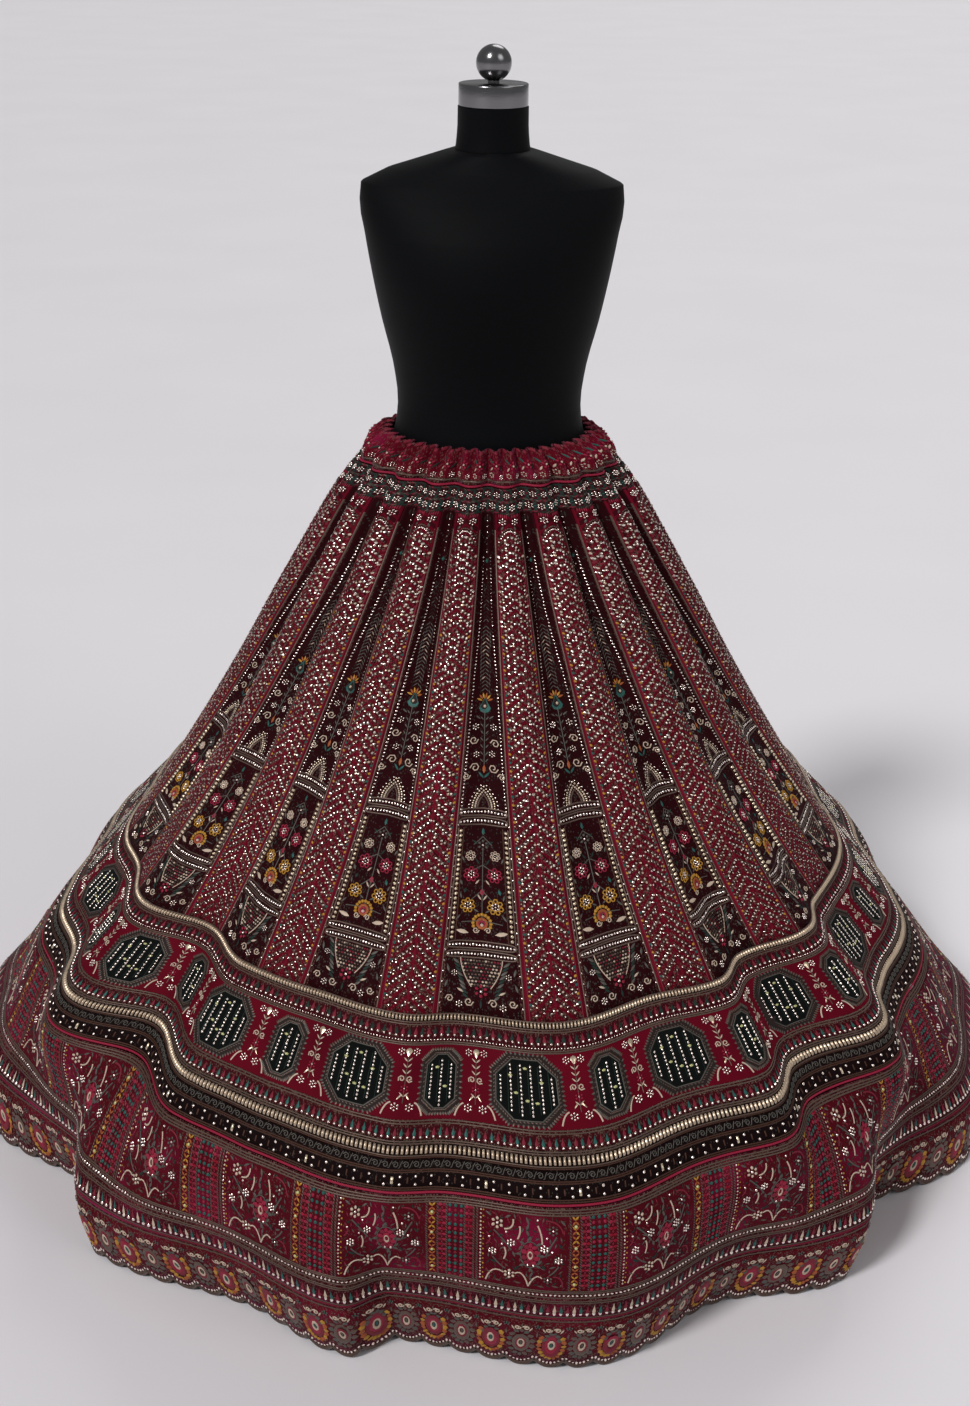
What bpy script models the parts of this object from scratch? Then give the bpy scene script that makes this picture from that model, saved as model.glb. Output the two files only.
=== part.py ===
"""A floor-length gored lehenga skirt standing on a limbless dress form, in metres, +Z up.

The front of the skirt faces -Y. An angle of 0 degrees is the centre front, and it grows
towards +X. The origin is the middle of the form's base plate, on the floor.
"""

import bpy
import numpy as np

# Driving dimensions, in metres.
WALL = 0.003  # cloth with its embroidery, measured level; across the slope it is about 2.3 mm
SEAM_GAP = 0.0003
WAISTBAND_TOP = 0.930
WAIST_SEAM = 0.891
GORE_SEAM = 0.394  # gores to border band
TRIM_SEAM = 0.2893  # border band to dark band
FLOUNCE_SEAM = 0.2585  # dark band to flounce
SCALLOP_SEAM = 0.100  # flounce to scalloped border
PIPING = 0.0034  # height of both pipings
REPEATS = 20  # vase gores, and as many chevron gores
GATHERS = 40  # puffs round the waistband
PUFF = 0.013  # how far a puff stands off the form at the top edge
PUFF_BULGE = 0.006  # and how much more at half height
SCALLOPS = 126
SCALLOP_DEPTH = 0.013
RIDGE = 0.0025  # how far the two ribbed bead lines of the border band stand proud
RIDGE_TOP_WIDTH = 0.0055
RIDGE_FOOT_WIDTH = 0.0078
RING_COLUMNS = 120

# A level ring of the skirt: its height, its half width, its front and back reach as shares of
# that, and how much of the border's folds and of the hem's folds it carries.
RINGS = (
    # height, side, front, back, border folds, hem folds
    (0.930, 0.128, 0.840, 0.86, 0.00, 0.00),
    (0.891, 0.158, 0.820, 0.84, 0.00, 0.00),
    (0.850, 0.187, 0.840, 0.86, 0.00, 0.00),
    (0.790, 0.222, 0.880, 0.90, 0.05, 0.00),
    (0.692, 0.280, 0.950, 0.94, 0.20, 0.00),
    (0.606, 0.331, 1.000, 0.97, 0.40, 0.00),
    (0.509, 0.395, 1.050, 0.99, 0.65, 0.00),
    (0.391, 0.482, 1.120, 1.00, 0.90, 0.00),
    (0.257, 0.600, 1.140, 1.00, 1.00, 0.00),
    (0.160, 0.650, 1.065, 1.00, 0.40, 0.60),
    (0.095, 0.696, 0.977, 0.99, 0.15, 0.85),
    (0.000, 0.718, 0.902, 0.97, 0.00, 1.00),
)

# One row a fold, in degrees and as shares of the radius: its crest, then the valley after it.
BORDER_FOLDS = (
    # crest at, reach, valley at, depth
    (-57.0, 0.030, -43.0, -0.070),
    (-33.0, -0.016, -22.0, -0.014),
    (-9.0, 0.015, -3.0, -0.005),
    (10.0, 0.043, 22.0, -0.003),
    (31.5, 0.022, 38.0, -0.030),
    (51.0, 0.036, 58.0, -0.008),
    (75.0, 0.012, 96.0, -0.035),
    (116.0, 0.005, 127.0, -0.035),
    (143.0, 0.035, 156.0, -0.025),
    (172.0, 0.030, 186.0, -0.030),
    (203.0, 0.035, 217.0, -0.030),
    (240.0, 0.005, 264.0, -0.035),
    (284.0, 0.010, 293.0, -0.010),
)
HEM_FOLDS = (
    # crest at, reach, valley at, depth
    (-90.0, 0.025, -81.0, 0.010),
    (-73.0, 0.012, -53.0, -0.085),
    (-44.0, 0.030, -26.0, -0.022),
    (-12.5, 0.035, -8.5, -0.025),
    (12.0, 0.045, 27.0, -0.035),
    (41.0, 0.040, 50.5, -0.080),
    (68.0, 0.025, 77.0, 0.015),
    (89.0, 0.040, 104.0, -0.040),
    (121.0, 0.035, 136.0, -0.050),
    (152.0, 0.040, 166.0, -0.040),
    (184.0, 0.035, 196.0, -0.045),
    (214.0, 0.040, 231.0, -0.040),
    (247.0, 0.030, 259.0, -0.030),
)

# The flutes that the gores make: a chevron gore bows out, a vase gore lies back between two.
FLUTES = (
    # height, vase gore's half share of a repeat, chevron bow, vase dip
    (0.930, 0.165, 0.0070, 0.0025),
    (0.891, 0.170, 0.0080, 0.0030),
    (0.840, 0.180, 0.0110, 0.0045),
    (0.720, 0.215, 0.0105, 0.0045),
    (0.600, 0.245, 0.0080, 0.0035),
    (0.480, 0.275, 0.0040, 0.0015),
    (0.391, 0.290, 0.0000, 0.0000),
    (0.000, 0.290, 0.0000, 0.0000),
)

# The form's torso in level sections.
TORSO = (
    # height, half width, half depth, shift to the back
    (0.660, 0.148, 0.106, 0.006),
    (0.669, 0.160, 0.116, 0.006),
    (0.720, 0.168, 0.122, 0.005),
    (0.800, 0.165, 0.120, 0.003),
    (0.850, 0.153, 0.114, 0.000),
    (0.893, 0.137, 0.105, 0.000),
    (0.930, 0.120, 0.098, 0.000),
    (0.960, 0.116, 0.094, 0.000),
    (1.010, 0.121, 0.097, -0.002),
    (1.070, 0.135, 0.107, -0.007),
    (1.125, 0.146, 0.114, -0.010),
    (1.175, 0.155, 0.106, -0.007),
    (1.212, 0.161, 0.089, -0.001),
    (1.234, 0.157, 0.074, 0.003),
    (1.248, 0.128, 0.064, 0.005),
    (1.261, 0.086, 0.057, 0.005),
    (1.269, 0.060, 0.053, 0.004),
    (1.272, 0.050, 0.049, 0.003),
)
TORSO_SIDES = GATHERS  # so that each dip of the waistband meets an edge of the form
NECK_FOOT_RADIUS = 0.0457
NECK_RADIUS = 0.0426
NECK_SHIFT = 0.003
CAP_BOTTOM = 1.322
CAP_TOP = 1.348
CAP_RADIUS = 0.0419
BALL_RADIUS = 0.0213
BALL_STEM_RADIUS = 0.007
BASE_RADIUS = 0.150
BASE_THICKNESS = 0.008
POLE_RADIUS = 0.016
COLLAR_RADIUS = 0.030
COLLAR_HEIGHT = 0.024
EDGE = 0.002  # chamfer of the metal pieces

COLOURS = {
    # red, green, blue, metallic, roughness
    "velvet": (0.150, 0.004, 0.018, 0.0, 0.75),
    "dark_velvet": (0.030, 0.003, 0.006, 0.0, 0.80),
    "chevron": (0.180, 0.045, 0.045, 0.0, 0.60),
    "pink": (0.550, 0.030, 0.140, 0.0, 0.50),
    "black_cloth": (0.008, 0.008, 0.010, 0.0, 0.85),
    "black_metal": (0.010, 0.010, 0.012, 1.0, 0.35),
    "chrome": (0.600, 0.600, 0.610, 1.0, 0.15),
}


def clear_scene():
    for obj in list(bpy.data.objects):
        bpy.data.objects.remove(obj)


def material(name):
    """The named material, made on first use."""
    if name in bpy.data.materials:
        return bpy.data.materials[name]
    red, green, blue, metallic, roughness = COLOURS[name]
    made = bpy.data.materials.new(name)
    made.use_nodes = True
    shader = made.node_tree.nodes["Principled BSDF"]
    shader.inputs["Base Color"].default_value = (red, green, blue, 1.0)
    shader.inputs["Metallic"].default_value = metallic
    shader.inputs["Roughness"].default_value = roughness
    return made


def smooth(table, column, height):
    """A column of a table at any height, on a cubic through its rows."""
    rows = np.array(table)[::-1]
    heights, values = rows[:, 0], rows[:, column]
    slopes = np.gradient(values, heights)
    height = np.clip(height, heights[0], heights[-1])
    i = np.clip(np.searchsorted(heights, height, side="right") - 1, 0, len(heights) - 2)
    step = heights[i + 1] - heights[i]
    t = (height - heights[i]) / step
    return (
        values[i] * (1 + 2 * t) * (1 - t) ** 2
        + slopes[i] * step * t * (1 - t) ** 2
        + values[i + 1] * t * t * (3 - 2 * t)
        - slopes[i + 1] * step * t * t * (1 - t)
    )


def fold_wave(folds, angle):
    """The folds' share at an angle: cosine easing from each crest to its valley and on."""
    rows = np.array(folds)
    at = rows[:, [0, 2]].ravel()
    reach = rows[:, [1, 3]].ravel()
    at = np.concatenate([at[-1:] - 360, at, at[:1] + 360])
    reach = np.concatenate([reach[-1:], reach, reach[:1]])
    angle = (angle - at[0]) % 360 + at[0]
    i = np.clip(np.searchsorted(at, angle, side="right") - 1, 0, len(at) - 2)
    t = (angle - at[i]) / (at[i + 1] - at[i])
    return reach[i] + (reach[i + 1] - reach[i]) * (0.5 - 0.5 * np.cos(np.pi * t))


def level_radius(angle, height):
    """Distance of the folded cloth from the axis, before flutes: a rounded oval that turns
    squarer towards the hem, times one plus the folds that this height carries."""
    side, front, back, border, hem = (smooth(RINGS, k, height) for k in range(1, 6))
    turn = np.radians(angle)
    ratio = np.where(np.cos(turn) > 0, front, back)
    power = 2 + 4 * np.clip(1 - height / FLOUNCE_SEAM, 0, 1)
    oval = ratio + (1 - ratio) * np.abs(np.sin(turn)) ** power
    folds = border * fold_wave(BORDER_FOLDS, angle) + hem * fold_wave(HEM_FOLDS, angle)
    return side * oval * (1 + folds)


def flute(angle, height):
    """Half a cosine out across each chevron gore, and a shallower one in across each vase gore."""
    half = smooth(FLUTES, 1, height)
    bow = smooth(FLUTES, 2, height)
    dip = smooth(FLUTES, 3, height)
    place = angle * REPEATS / 360
    off = np.abs(place - np.round(place))
    out = bow * np.cos(np.pi * (off - 0.5) / (1 - 2 * half))
    back = -dip * np.cos(np.pi * off / (2 * half))
    return np.where(off < half, back, out)


def skirt_radius(angle, height):
    return level_radius(angle, height) + flute(angle, height)


def form_radius(angle, height):
    """The torso's oval section at the waist, seen from the axis."""
    width = smooth(TORSO[::-1], 1, height)
    depth = smooth(TORSO[::-1], 2, height)
    turn = np.radians(angle)
    return 1 / np.sqrt((np.sin(turn) / width) ** 2 + (np.cos(turn) / depth) ** 2)


def waistband_radius(angle, height):
    """From the skirt's own radius at the seam up to the form, in puffs that touch it between."""
    rise = (height - WAIST_SEAM) / (WAISTBAND_TOP - WAIST_SEAM)
    gather = 0.5 - 0.5 * np.cos(np.radians(angle) * GATHERS)
    uneven = 1 + 0.2 * np.sin(2.3 * np.floor(angle * GATHERS / 360))
    on_form = form_radius(angle, height) + WALL + SEAM_GAP + PUFF * gather * uneven
    bulge = PUFF_BULGE * gather * uneven * np.sin(np.pi * rise)
    return skirt_radius(angle, WAIST_SEAM) * (1 - rise) + on_form * rise + bulge


def plan_point(radius, angle, height):
    turn = np.radians(angle)
    level = np.broadcast_to(height, np.shape(radius))
    return np.stack([radius * np.sin(turn), -radius * np.cos(turn), level], axis=-1)


def plan_normal(angle, height):
    """The level direction square to the folded cloth, outwards."""
    small = 0.2
    before = plan_point(level_radius(angle - small, height), angle - small, height)
    after = plan_point(level_radius(angle + small, height), angle + small, height)
    along = after - before
    out = np.stack([along[..., 1], -along[..., 0], np.zeros(along.shape[:-1])], axis=-1)
    return out / np.linalg.norm(out, axis=-1, keepdims=True)


def mesh_object(name, points, faces, finish):
    mesh = bpy.data.meshes.new(name)
    mesh.from_pydata(points.tolist(), [], faces)
    mesh.update()
    obj = bpy.data.objects.new(name, mesh)
    bpy.context.scene.collection.objects.link(obj)
    mesh.materials.append(material(finish))
    mesh.shade_smooth()
    mesh.set_sharp_from_angle(angle=np.radians(40))
    return obj


def two_triangles(a, b, c, d):
    return [(a, b, c), (a, c, d)]


def wall(name, outer, inner, finish, ring):
    """A closed cloth wall between an outer and an inner grid, its rows from the top down.

    The outer grid may have more rows than the inner one, which then lies flat behind it."""
    rows, columns = outer.shape[:2]
    inner_rows = inner.shape[0]
    points = np.concatenate([outer.reshape(-1, 3), inner.reshape(-1, 3)])
    start = rows * columns
    faces = []
    for j in range(columns if ring else columns - 1):
        k = (j + 1) % columns
        for i in range(rows - 1):
            top, low = i * columns, (i + 1) * columns
            faces += two_triangles(top + j, low + j, low + k, top + k)
        for i in range(inner_rows - 1):
            top, low = start + i * columns, start + (i + 1) * columns
            faces += [(top + j, low + k, low + j), (top + j, top + k, low + k)]
        last = (rows - 1) * columns
        inner_last = start + (inner_rows - 1) * columns
        faces += two_triangles(j, k, start + k, start + j)
        faces += two_triangles(last + j, inner_last + j, inner_last + k, last + k)
    if not ring:
        for i in range(rows - 1):
            left, below = i * columns, (i + 1) * columns
            faces += two_triangles(left, start + left, start + below, below)
            right, under = left + columns - 1, below + columns - 1
            faces += two_triangles(right, under, start + under, start + right)
    return mesh_object(name, points, faces, finish)


def gore(name, finish, left, right, columns, heights):
    """One tapered panel. left and right give its two seams as angles at any height."""
    outer, inner = [], []
    for height in heights:
        half_gap = np.degrees(0.7 * SEAM_GAP / level_radius(left(height), height))
        angle = np.linspace(left(height) + half_gap, right(height) - half_gap, columns)
        points = plan_point(skirt_radius(angle, height), angle, height)
        outer.append(points)
        inner.append(points - WALL * plan_normal(angle, height))
    return wall(name, np.array(outer), np.array(inner), finish, ring=False)


def make_gores():
    heights = (WAIST_SEAM - PIPING / 2 - SEAM_GAP, 0.850, 0.790, 0.692, 0.606, 0.509)
    heights += (GORE_SEAM + SEAM_GAP / 2,)
    pitch = 360 / REPEATS
    for k in range(REPEATS):
        middle = k * pitch

        def vase_left(height, middle=middle):
            return middle - pitch * smooth(FLUTES, 1, height)

        def vase_right(height, middle=middle):
            return middle + pitch * smooth(FLUTES, 1, height)

        def chevron_right(height, middle=middle):
            return middle + pitch * (1 - smooth(FLUTES, 1, height))

        gore(f"vase_gore_{k + 1:02d}", "dark_velvet", vase_left, vase_right, 3, heights)
        gore(f"chevron_gore_{k + 1:02d}", "chevron", vase_right, chevron_right, 5, heights)


def ring_wall(name, finish, heights, columns, radius=level_radius, raised=None):
    """A whole round of cloth through level rings, plain inside where raised gives a relief."""
    angle = np.arange(columns) * 360 / columns
    raised = raised or [0.0] * len(heights)
    outer = [
        plan_point(radius(angle, height), angle, height) + relief * plan_normal(angle, height)
        for height, relief in zip(heights, raised)
    ]
    inside = heights if not any(raised) else (heights[0], heights[-1])
    inner = [
        plan_point(radius(angle, height), angle, height) - WALL * plan_normal(angle, height)
        for height in inside
    ]
    return wall(name, np.array(outer), np.array(inner), finish, ring=True)


def piping(name, height, columns, radius):
    """A cord of diamond section, let into the seam at this height."""
    angle = np.arange(columns) * 360 / columns
    half = PIPING / 2
    middle = plan_point(radius(angle, height), angle, height)
    out = plan_normal(angle, height)
    up = np.array([0, 0, half])
    outer = np.array([middle - WALL / 2 * out + up, middle + half * out])
    inner = np.array([middle - WALL * out, middle - WALL / 2 * out - up])
    loops = [outer[0], outer[1], inner[1], inner[0]]
    points = np.concatenate(loops)
    faces = []
    for j in range(columns):
        k = (j + 1) % columns
        for i in range(4):
            top, low = i * columns, (i + 1) % 4 * columns
            faces += two_triangles(top + j, low + j, low + k, top + k)
    return mesh_object(name, points, faces, "pink")


def make_waistband():
    heights = (WAISTBAND_TOP, 0.910, WAIST_SEAM + PIPING / 2 + SEAM_GAP)
    ring_wall("waistband", "velvet", heights, 4 * GATHERS, waistband_radius)
    piping("waist_piping", WAIST_SEAM, 4 * REPEATS, skirt_radius)


def make_border():
    """The medallion band with a ribbed bead line along either edge, and the dark band below."""
    slope = 0.0015
    top = GORE_SEAM - SEAM_GAP / 2
    foot = TRIM_SEAM + SEAM_GAP / 2
    heights = (
        top,
        top - RIDGE_TOP_WIDTH,
        top - RIDGE_TOP_WIDTH - slope,
        foot + RIDGE_FOOT_WIDTH + slope,
        foot + RIDGE_FOOT_WIDTH,
        foot,
    )
    raised = [RIDGE, RIDGE, 0.0, 0.0, RIDGE, RIDGE]
    ring_wall("border_band", "velvet", heights, RING_COLUMNS, raised=raised)
    heights = (TRIM_SEAM - SEAM_GAP / 2, FLOUNCE_SEAM + PIPING / 2 + SEAM_GAP)
    ring_wall("dark_band", "dark_velvet", heights, RING_COLUMNS)
    piping("flounce_piping", FLOUNCE_SEAM, RING_COLUMNS - 16, level_radius)


def make_flounce():
    top = FLOUNCE_SEAM - PIPING / 2 - SEAM_GAP
    heights = (top, 0.185, SCALLOP_SEAM + SEAM_GAP / 2)
    ring_wall("flounce", "velvet", heights, SCALLOPS)


def make_scalloped_border():
    """Each scallop is a notch and a foot that stands on the floor."""
    places = np.array([0.0, 0.30, 0.70])
    angle = ((np.arange(SCALLOPS)[:, None] + places) * 360 / SCALLOPS).ravel()
    foot = np.tile([SCALLOP_DEPTH, 0.0, 0.0], SCALLOPS)
    outer, inner = [], []
    for height in (np.full(len(angle), SCALLOP_SEAM - SEAM_GAP / 2), foot):
        points = plan_point(level_radius(angle, height), angle, height)
        outer.append(points)
        inner.append(points - WALL * plan_normal(angle, height))
    wall("scalloped_border", np.array(outer), np.array(inner), "velvet", ring=True)


def lofted(name, finish, sections, sides):
    """A closed solid through level ovals, given from the bottom up."""
    angle = np.arange(sides) * 2 * np.pi / sides
    rings = [
        np.stack(
            [width * np.sin(angle), shift - depth * np.cos(angle), np.full(sides, height)],
            axis=-1,
        )
        for height, width, depth, shift in sections
    ]
    faces = [list(range(sides))[::-1]]
    for i in range(len(rings) - 1):
        low, top = i * sides, (i + 1) * sides
        for j in range(sides):
            k = (j + 1) % sides
            faces += two_triangles(top + j, low + j, low + k, top + k)
    start = (len(rings) - 1) * sides
    faces.append([start + j for j in range(sides)])
    return mesh_object(name, np.concatenate(rings), faces, finish)


def turned(name, finish, profile, sides, shift=0.0):
    """A round piece from a profile of height and radius."""
    return lofted(name, finish, [(z, r, r, shift) for z, r in profile], sides)


def make_form():
    lofted("form_torso", "black_cloth", TORSO, TORSO_SIDES)
    foot = TORSO[-1][0] + SEAM_GAP
    neck_top = CAP_BOTTOM - SEAM_GAP
    turned(
        "form_neck",
        "black_cloth",
        [(foot, NECK_FOOT_RADIUS), (foot + 0.018, NECK_RADIUS + 0.0008), (neck_top, NECK_RADIUS)],
        32,
        NECK_SHIFT,
    )
    turned(
        "form_neck_cap",
        "chrome",
        [
            (CAP_BOTTOM, CAP_RADIUS),
            (CAP_TOP - EDGE / 2, CAP_RADIUS),
            (CAP_TOP, CAP_RADIUS - EDGE / 2),
        ],
        32,
        NECK_SHIFT,
    )
    stem_foot = CAP_TOP + SEAM_GAP
    centre = stem_foot + 0.0012 + BALL_RADIUS
    first = np.arcsin(BALL_STEM_RADIUS / BALL_RADIUS)
    steps = np.linspace(first, np.pi - first / 3, 9)
    ball = [(centre - BALL_RADIUS * np.cos(a), BALL_RADIUS * np.sin(a)) for a in steps]
    turned("form_ball", "chrome", [(stem_foot, BALL_STEM_RADIUS)] + ball, 20, NECK_SHIFT)
    turned(
        "form_base",
        "black_metal",
        [
            (0.0, BASE_RADIUS - EDGE),
            (EDGE, BASE_RADIUS),
            (BASE_THICKNESS - EDGE, BASE_RADIUS),
            (BASE_THICKNESS, BASE_RADIUS - EDGE),
        ],
        32,
    )
    collar = BASE_THICKNESS + SEAM_GAP
    turned(
        "form_pole",
        "chrome",
        [
            (collar, COLLAR_RADIUS),
            (collar + COLLAR_HEIGHT - EDGE, COLLAR_RADIUS),
            (collar + COLLAR_HEIGHT, COLLAR_RADIUS - EDGE),
            (collar + COLLAR_HEIGHT + EDGE, POLE_RADIUS),
            (TORSO[0][0] - SEAM_GAP, POLE_RADIUS),
        ],
        20,
    )


clear_scene()
make_gores()
make_waistband()
make_border()
make_flounce()
make_scalloped_border()
make_form()
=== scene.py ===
"""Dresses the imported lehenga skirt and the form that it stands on.

The cloth is velvet laid on the frame's own shapes, and the embroidery is worked piece by piece:
sequins, beads, petals, leaves, scrolls and braids, each set on the cloth along its normal.
Angles are in degrees from the centre front and grow towards +X. "Down" is the length of cloth
below the waist seam along the centre front. Lengths are in metres, but the operators' tables of
motifs, their spans and the steps of banded colours are in millimetres.
"""

import bpy
import numpy as np
from bpy.props import FloatProperty, FloatVectorProperty, PointerProperty
from mathutils import Matrix, Vector


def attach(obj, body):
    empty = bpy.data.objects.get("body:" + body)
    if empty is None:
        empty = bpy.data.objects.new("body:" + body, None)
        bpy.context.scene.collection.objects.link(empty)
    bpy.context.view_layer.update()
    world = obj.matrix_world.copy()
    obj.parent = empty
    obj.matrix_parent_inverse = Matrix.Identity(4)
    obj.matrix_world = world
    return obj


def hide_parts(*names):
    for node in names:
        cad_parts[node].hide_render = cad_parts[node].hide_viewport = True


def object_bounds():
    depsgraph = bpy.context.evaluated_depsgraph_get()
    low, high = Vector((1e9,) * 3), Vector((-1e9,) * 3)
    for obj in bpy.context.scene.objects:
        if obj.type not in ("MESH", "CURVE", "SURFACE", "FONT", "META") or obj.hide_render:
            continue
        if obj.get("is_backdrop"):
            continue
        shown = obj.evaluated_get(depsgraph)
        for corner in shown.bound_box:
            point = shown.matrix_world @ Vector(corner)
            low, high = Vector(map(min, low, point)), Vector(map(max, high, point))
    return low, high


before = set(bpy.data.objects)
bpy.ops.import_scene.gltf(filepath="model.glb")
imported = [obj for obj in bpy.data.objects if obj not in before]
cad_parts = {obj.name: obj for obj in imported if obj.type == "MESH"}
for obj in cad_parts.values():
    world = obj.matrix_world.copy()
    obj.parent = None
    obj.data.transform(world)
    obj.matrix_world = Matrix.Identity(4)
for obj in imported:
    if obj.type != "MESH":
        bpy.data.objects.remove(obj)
CAD_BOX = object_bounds()

bl_info = {
    "name": "Lehenga Skirt",
    "version": (1, 0, 0),
    "blender": (4, 5, 0),
    "location": "3D View > Sidebar > Lehenga",
    "description": "Builds the velvet, embroidery and form of a gored lehenga skirt",
    "category": "Object",
}

# The skirt's form, as the frame has it.
WAISTBAND_TOP = 0.930
WAIST_SEAM = 0.891
GORE_SEAM = 0.394
TRIM_SEAM = 0.2893
FLOUNCE_SEAM = 0.2585
SCALLOP_SEAM = 0.100
PIPING = 0.0034
SEAM_GAP = 0.0003
WALL = 0.003
REPEATS = 20
GATHERS = 40
PUFF = 0.013
PUFF_BULGE = 0.006
SCALLOPS = 126
SCALLOP_DEPTH = 0.013
PITCH = 360 / REPEATS
MM = 0.001

RINGS = (
    # height, side, front, back, border folds, hem folds
    (0.930, 0.128, 0.840, 0.86, 0.00, 0.00),
    (0.891, 0.158, 0.820, 0.84, 0.00, 0.00),
    (0.850, 0.187, 0.840, 0.86, 0.00, 0.00),
    (0.790, 0.222, 0.880, 0.90, 0.05, 0.00),
    (0.692, 0.280, 0.950, 0.94, 0.20, 0.00),
    (0.606, 0.331, 1.000, 0.97, 0.40, 0.00),
    (0.509, 0.395, 1.050, 0.99, 0.65, 0.00),
    (0.391, 0.482, 1.120, 1.00, 0.90, 0.00),
    (0.257, 0.600, 1.140, 1.00, 1.00, 0.00),
    (0.160, 0.650, 1.065, 1.00, 0.40, 0.60),
    (0.095, 0.696, 0.977, 0.99, 0.15, 0.85),
    (0.000, 0.718, 0.902, 0.97, 0.00, 1.00),
)
BORDER_FOLDS = (
    # crest at, reach, valley at, depth
    (-57.0, 0.030, -43.0, -0.070),
    (-33.0, -0.016, -22.0, -0.014),
    (-9.0, 0.015, -3.0, -0.005),
    (10.0, 0.043, 22.0, -0.003),
    (31.5, 0.022, 38.0, -0.030),
    (51.0, 0.036, 58.0, -0.008),
    (75.0, 0.012, 96.0, -0.035),
    (116.0, 0.005, 127.0, -0.035),
    (143.0, 0.035, 156.0, -0.025),
    (172.0, 0.030, 186.0, -0.030),
    (203.0, 0.035, 217.0, -0.030),
    (240.0, 0.005, 264.0, -0.035),
    (284.0, 0.010, 293.0, -0.010),
)
HEM_FOLDS = (
    # crest at, reach, valley at, depth
    (-90.0, 0.025, -81.0, 0.010),
    (-73.0, 0.012, -53.0, -0.085),
    (-44.0, 0.030, -26.0, -0.022),
    (-12.5, 0.035, -8.5, -0.025),
    (12.0, 0.045, 27.0, -0.035),
    (41.0, 0.040, 50.5, -0.080),
    (68.0, 0.025, 77.0, 0.015),
    (89.0, 0.040, 104.0, -0.040),
    (121.0, 0.035, 136.0, -0.050),
    (152.0, 0.040, 166.0, -0.040),
    (184.0, 0.035, 196.0, -0.045),
    (214.0, 0.040, 231.0, -0.040),
    (247.0, 0.030, 259.0, -0.030),
)
FLUTES = (
    # height, vase gore's half share of a repeat, chevron bow, vase dip
    (0.930, 0.165, 0.0070, 0.0025),
    (0.891, 0.170, 0.0080, 0.0030),
    (0.840, 0.180, 0.0115, 0.0110),
    (0.720, 0.215, 0.0115, 0.0120),
    (0.600, 0.245, 0.0090, 0.0085),
    (0.480, 0.275, 0.0045, 0.0035),
    (0.391, 0.290, 0.0000, 0.0000),
    (0.000, 0.290, 0.0000, 0.0000),
)
TORSO = (
    # height, half width, half depth, shift to the back
    (0.660, 0.148, 0.106, 0.006),
    (0.669, 0.160, 0.116, 0.006),
    (0.720, 0.168, 0.122, 0.005),
    (0.800, 0.165, 0.120, 0.003),
    (0.850, 0.153, 0.114, 0.000),
    (0.893, 0.137, 0.105, 0.000),
    (0.930, 0.120, 0.098, 0.000),
    (0.960, 0.116, 0.094, 0.000),
    (1.010, 0.121, 0.097, -0.002),
    (1.070, 0.135, 0.107, -0.007),
    (1.125, 0.146, 0.114, -0.010),
    (1.175, 0.155, 0.106, -0.007),
    (1.212, 0.161, 0.089, -0.001),
    (1.234, 0.157, 0.074, 0.003),
    (1.248, 0.128, 0.064, 0.005),
    (1.261, 0.086, 0.057, 0.005),
    (1.269, 0.060, 0.053, 0.004),
    (1.272, 0.050, 0.049, 0.003),
)
NECK_SHIFT = 0.003
# Each turned part of the form: height and radius from the foot up.
NECK = ((1.2723, 0.0457), (1.278, 0.0446), (1.2903, 0.0434), (1.300, 0.0428), (1.3217, 0.0426))
NECK_CAP = (
    (1.3220, 0.0407), (1.3224, 0.0415), (1.3234, 0.0419), (1.3466, 0.0419), (1.3476, 0.0415),
    (1.3480, 0.0407),
)
BALL_RADIUS = 0.0213
BALL_CENTRE = 1.3483 + 0.0012 + BALL_RADIUS
BALL_STEM = 0.007
BASE = ((0.0, 0.148), (0.0006, 0.1494), (0.002, 0.150), (0.006, 0.150), (0.0074, 0.1494), (0.008, 0.148))
POLE = (
    (0.0083, 0.0300), (0.0303, 0.0300), (0.0317, 0.0294), (0.0323, 0.0280), (0.0335, 0.0170),
    (0.0343, 0.0160), (0.6597, 0.0160),
)


def smooth(table, column, height):
    """A column of a table at any height, on a cubic through its rows."""
    rows = np.array(table)
    rows = rows[np.argsort(rows[:, 0])]
    heights, values = rows[:, 0], rows[:, column]
    slopes = np.gradient(values, heights)
    height = np.clip(height, heights[0], heights[-1])
    i = np.clip(np.searchsorted(heights, height, side="right") - 1, 0, len(heights) - 2)
    step = heights[i + 1] - heights[i]
    t = (height - heights[i]) / step
    return (
        values[i] * (1 + 2 * t) * (1 - t) ** 2
        + slopes[i] * step * t * (1 - t) ** 2
        + values[i + 1] * t * t * (3 - 2 * t)
        - slopes[i + 1] * step * t * t * (1 - t)
    )


def fold_wave(folds, angle):
    """The folds' share at an angle: cosine easing from each crest to its valley and on."""
    rows = np.array(folds)
    at = rows[:, [0, 2]].ravel()
    reach = rows[:, [1, 3]].ravel()
    at = np.concatenate([at[-1:] - 360, at, at[:1] + 360])
    reach = np.concatenate([reach[-1:], reach, reach[:1]])
    angle = (angle - at[0]) % 360 + at[0]
    i = np.clip(np.searchsorted(at, angle, side="right") - 1, 0, len(at) - 2)
    t = (angle - at[i]) / (at[i + 1] - at[i])
    return reach[i] + (reach[i + 1] - reach[i]) * (0.5 - 0.5 * np.cos(np.pi * t))


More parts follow.
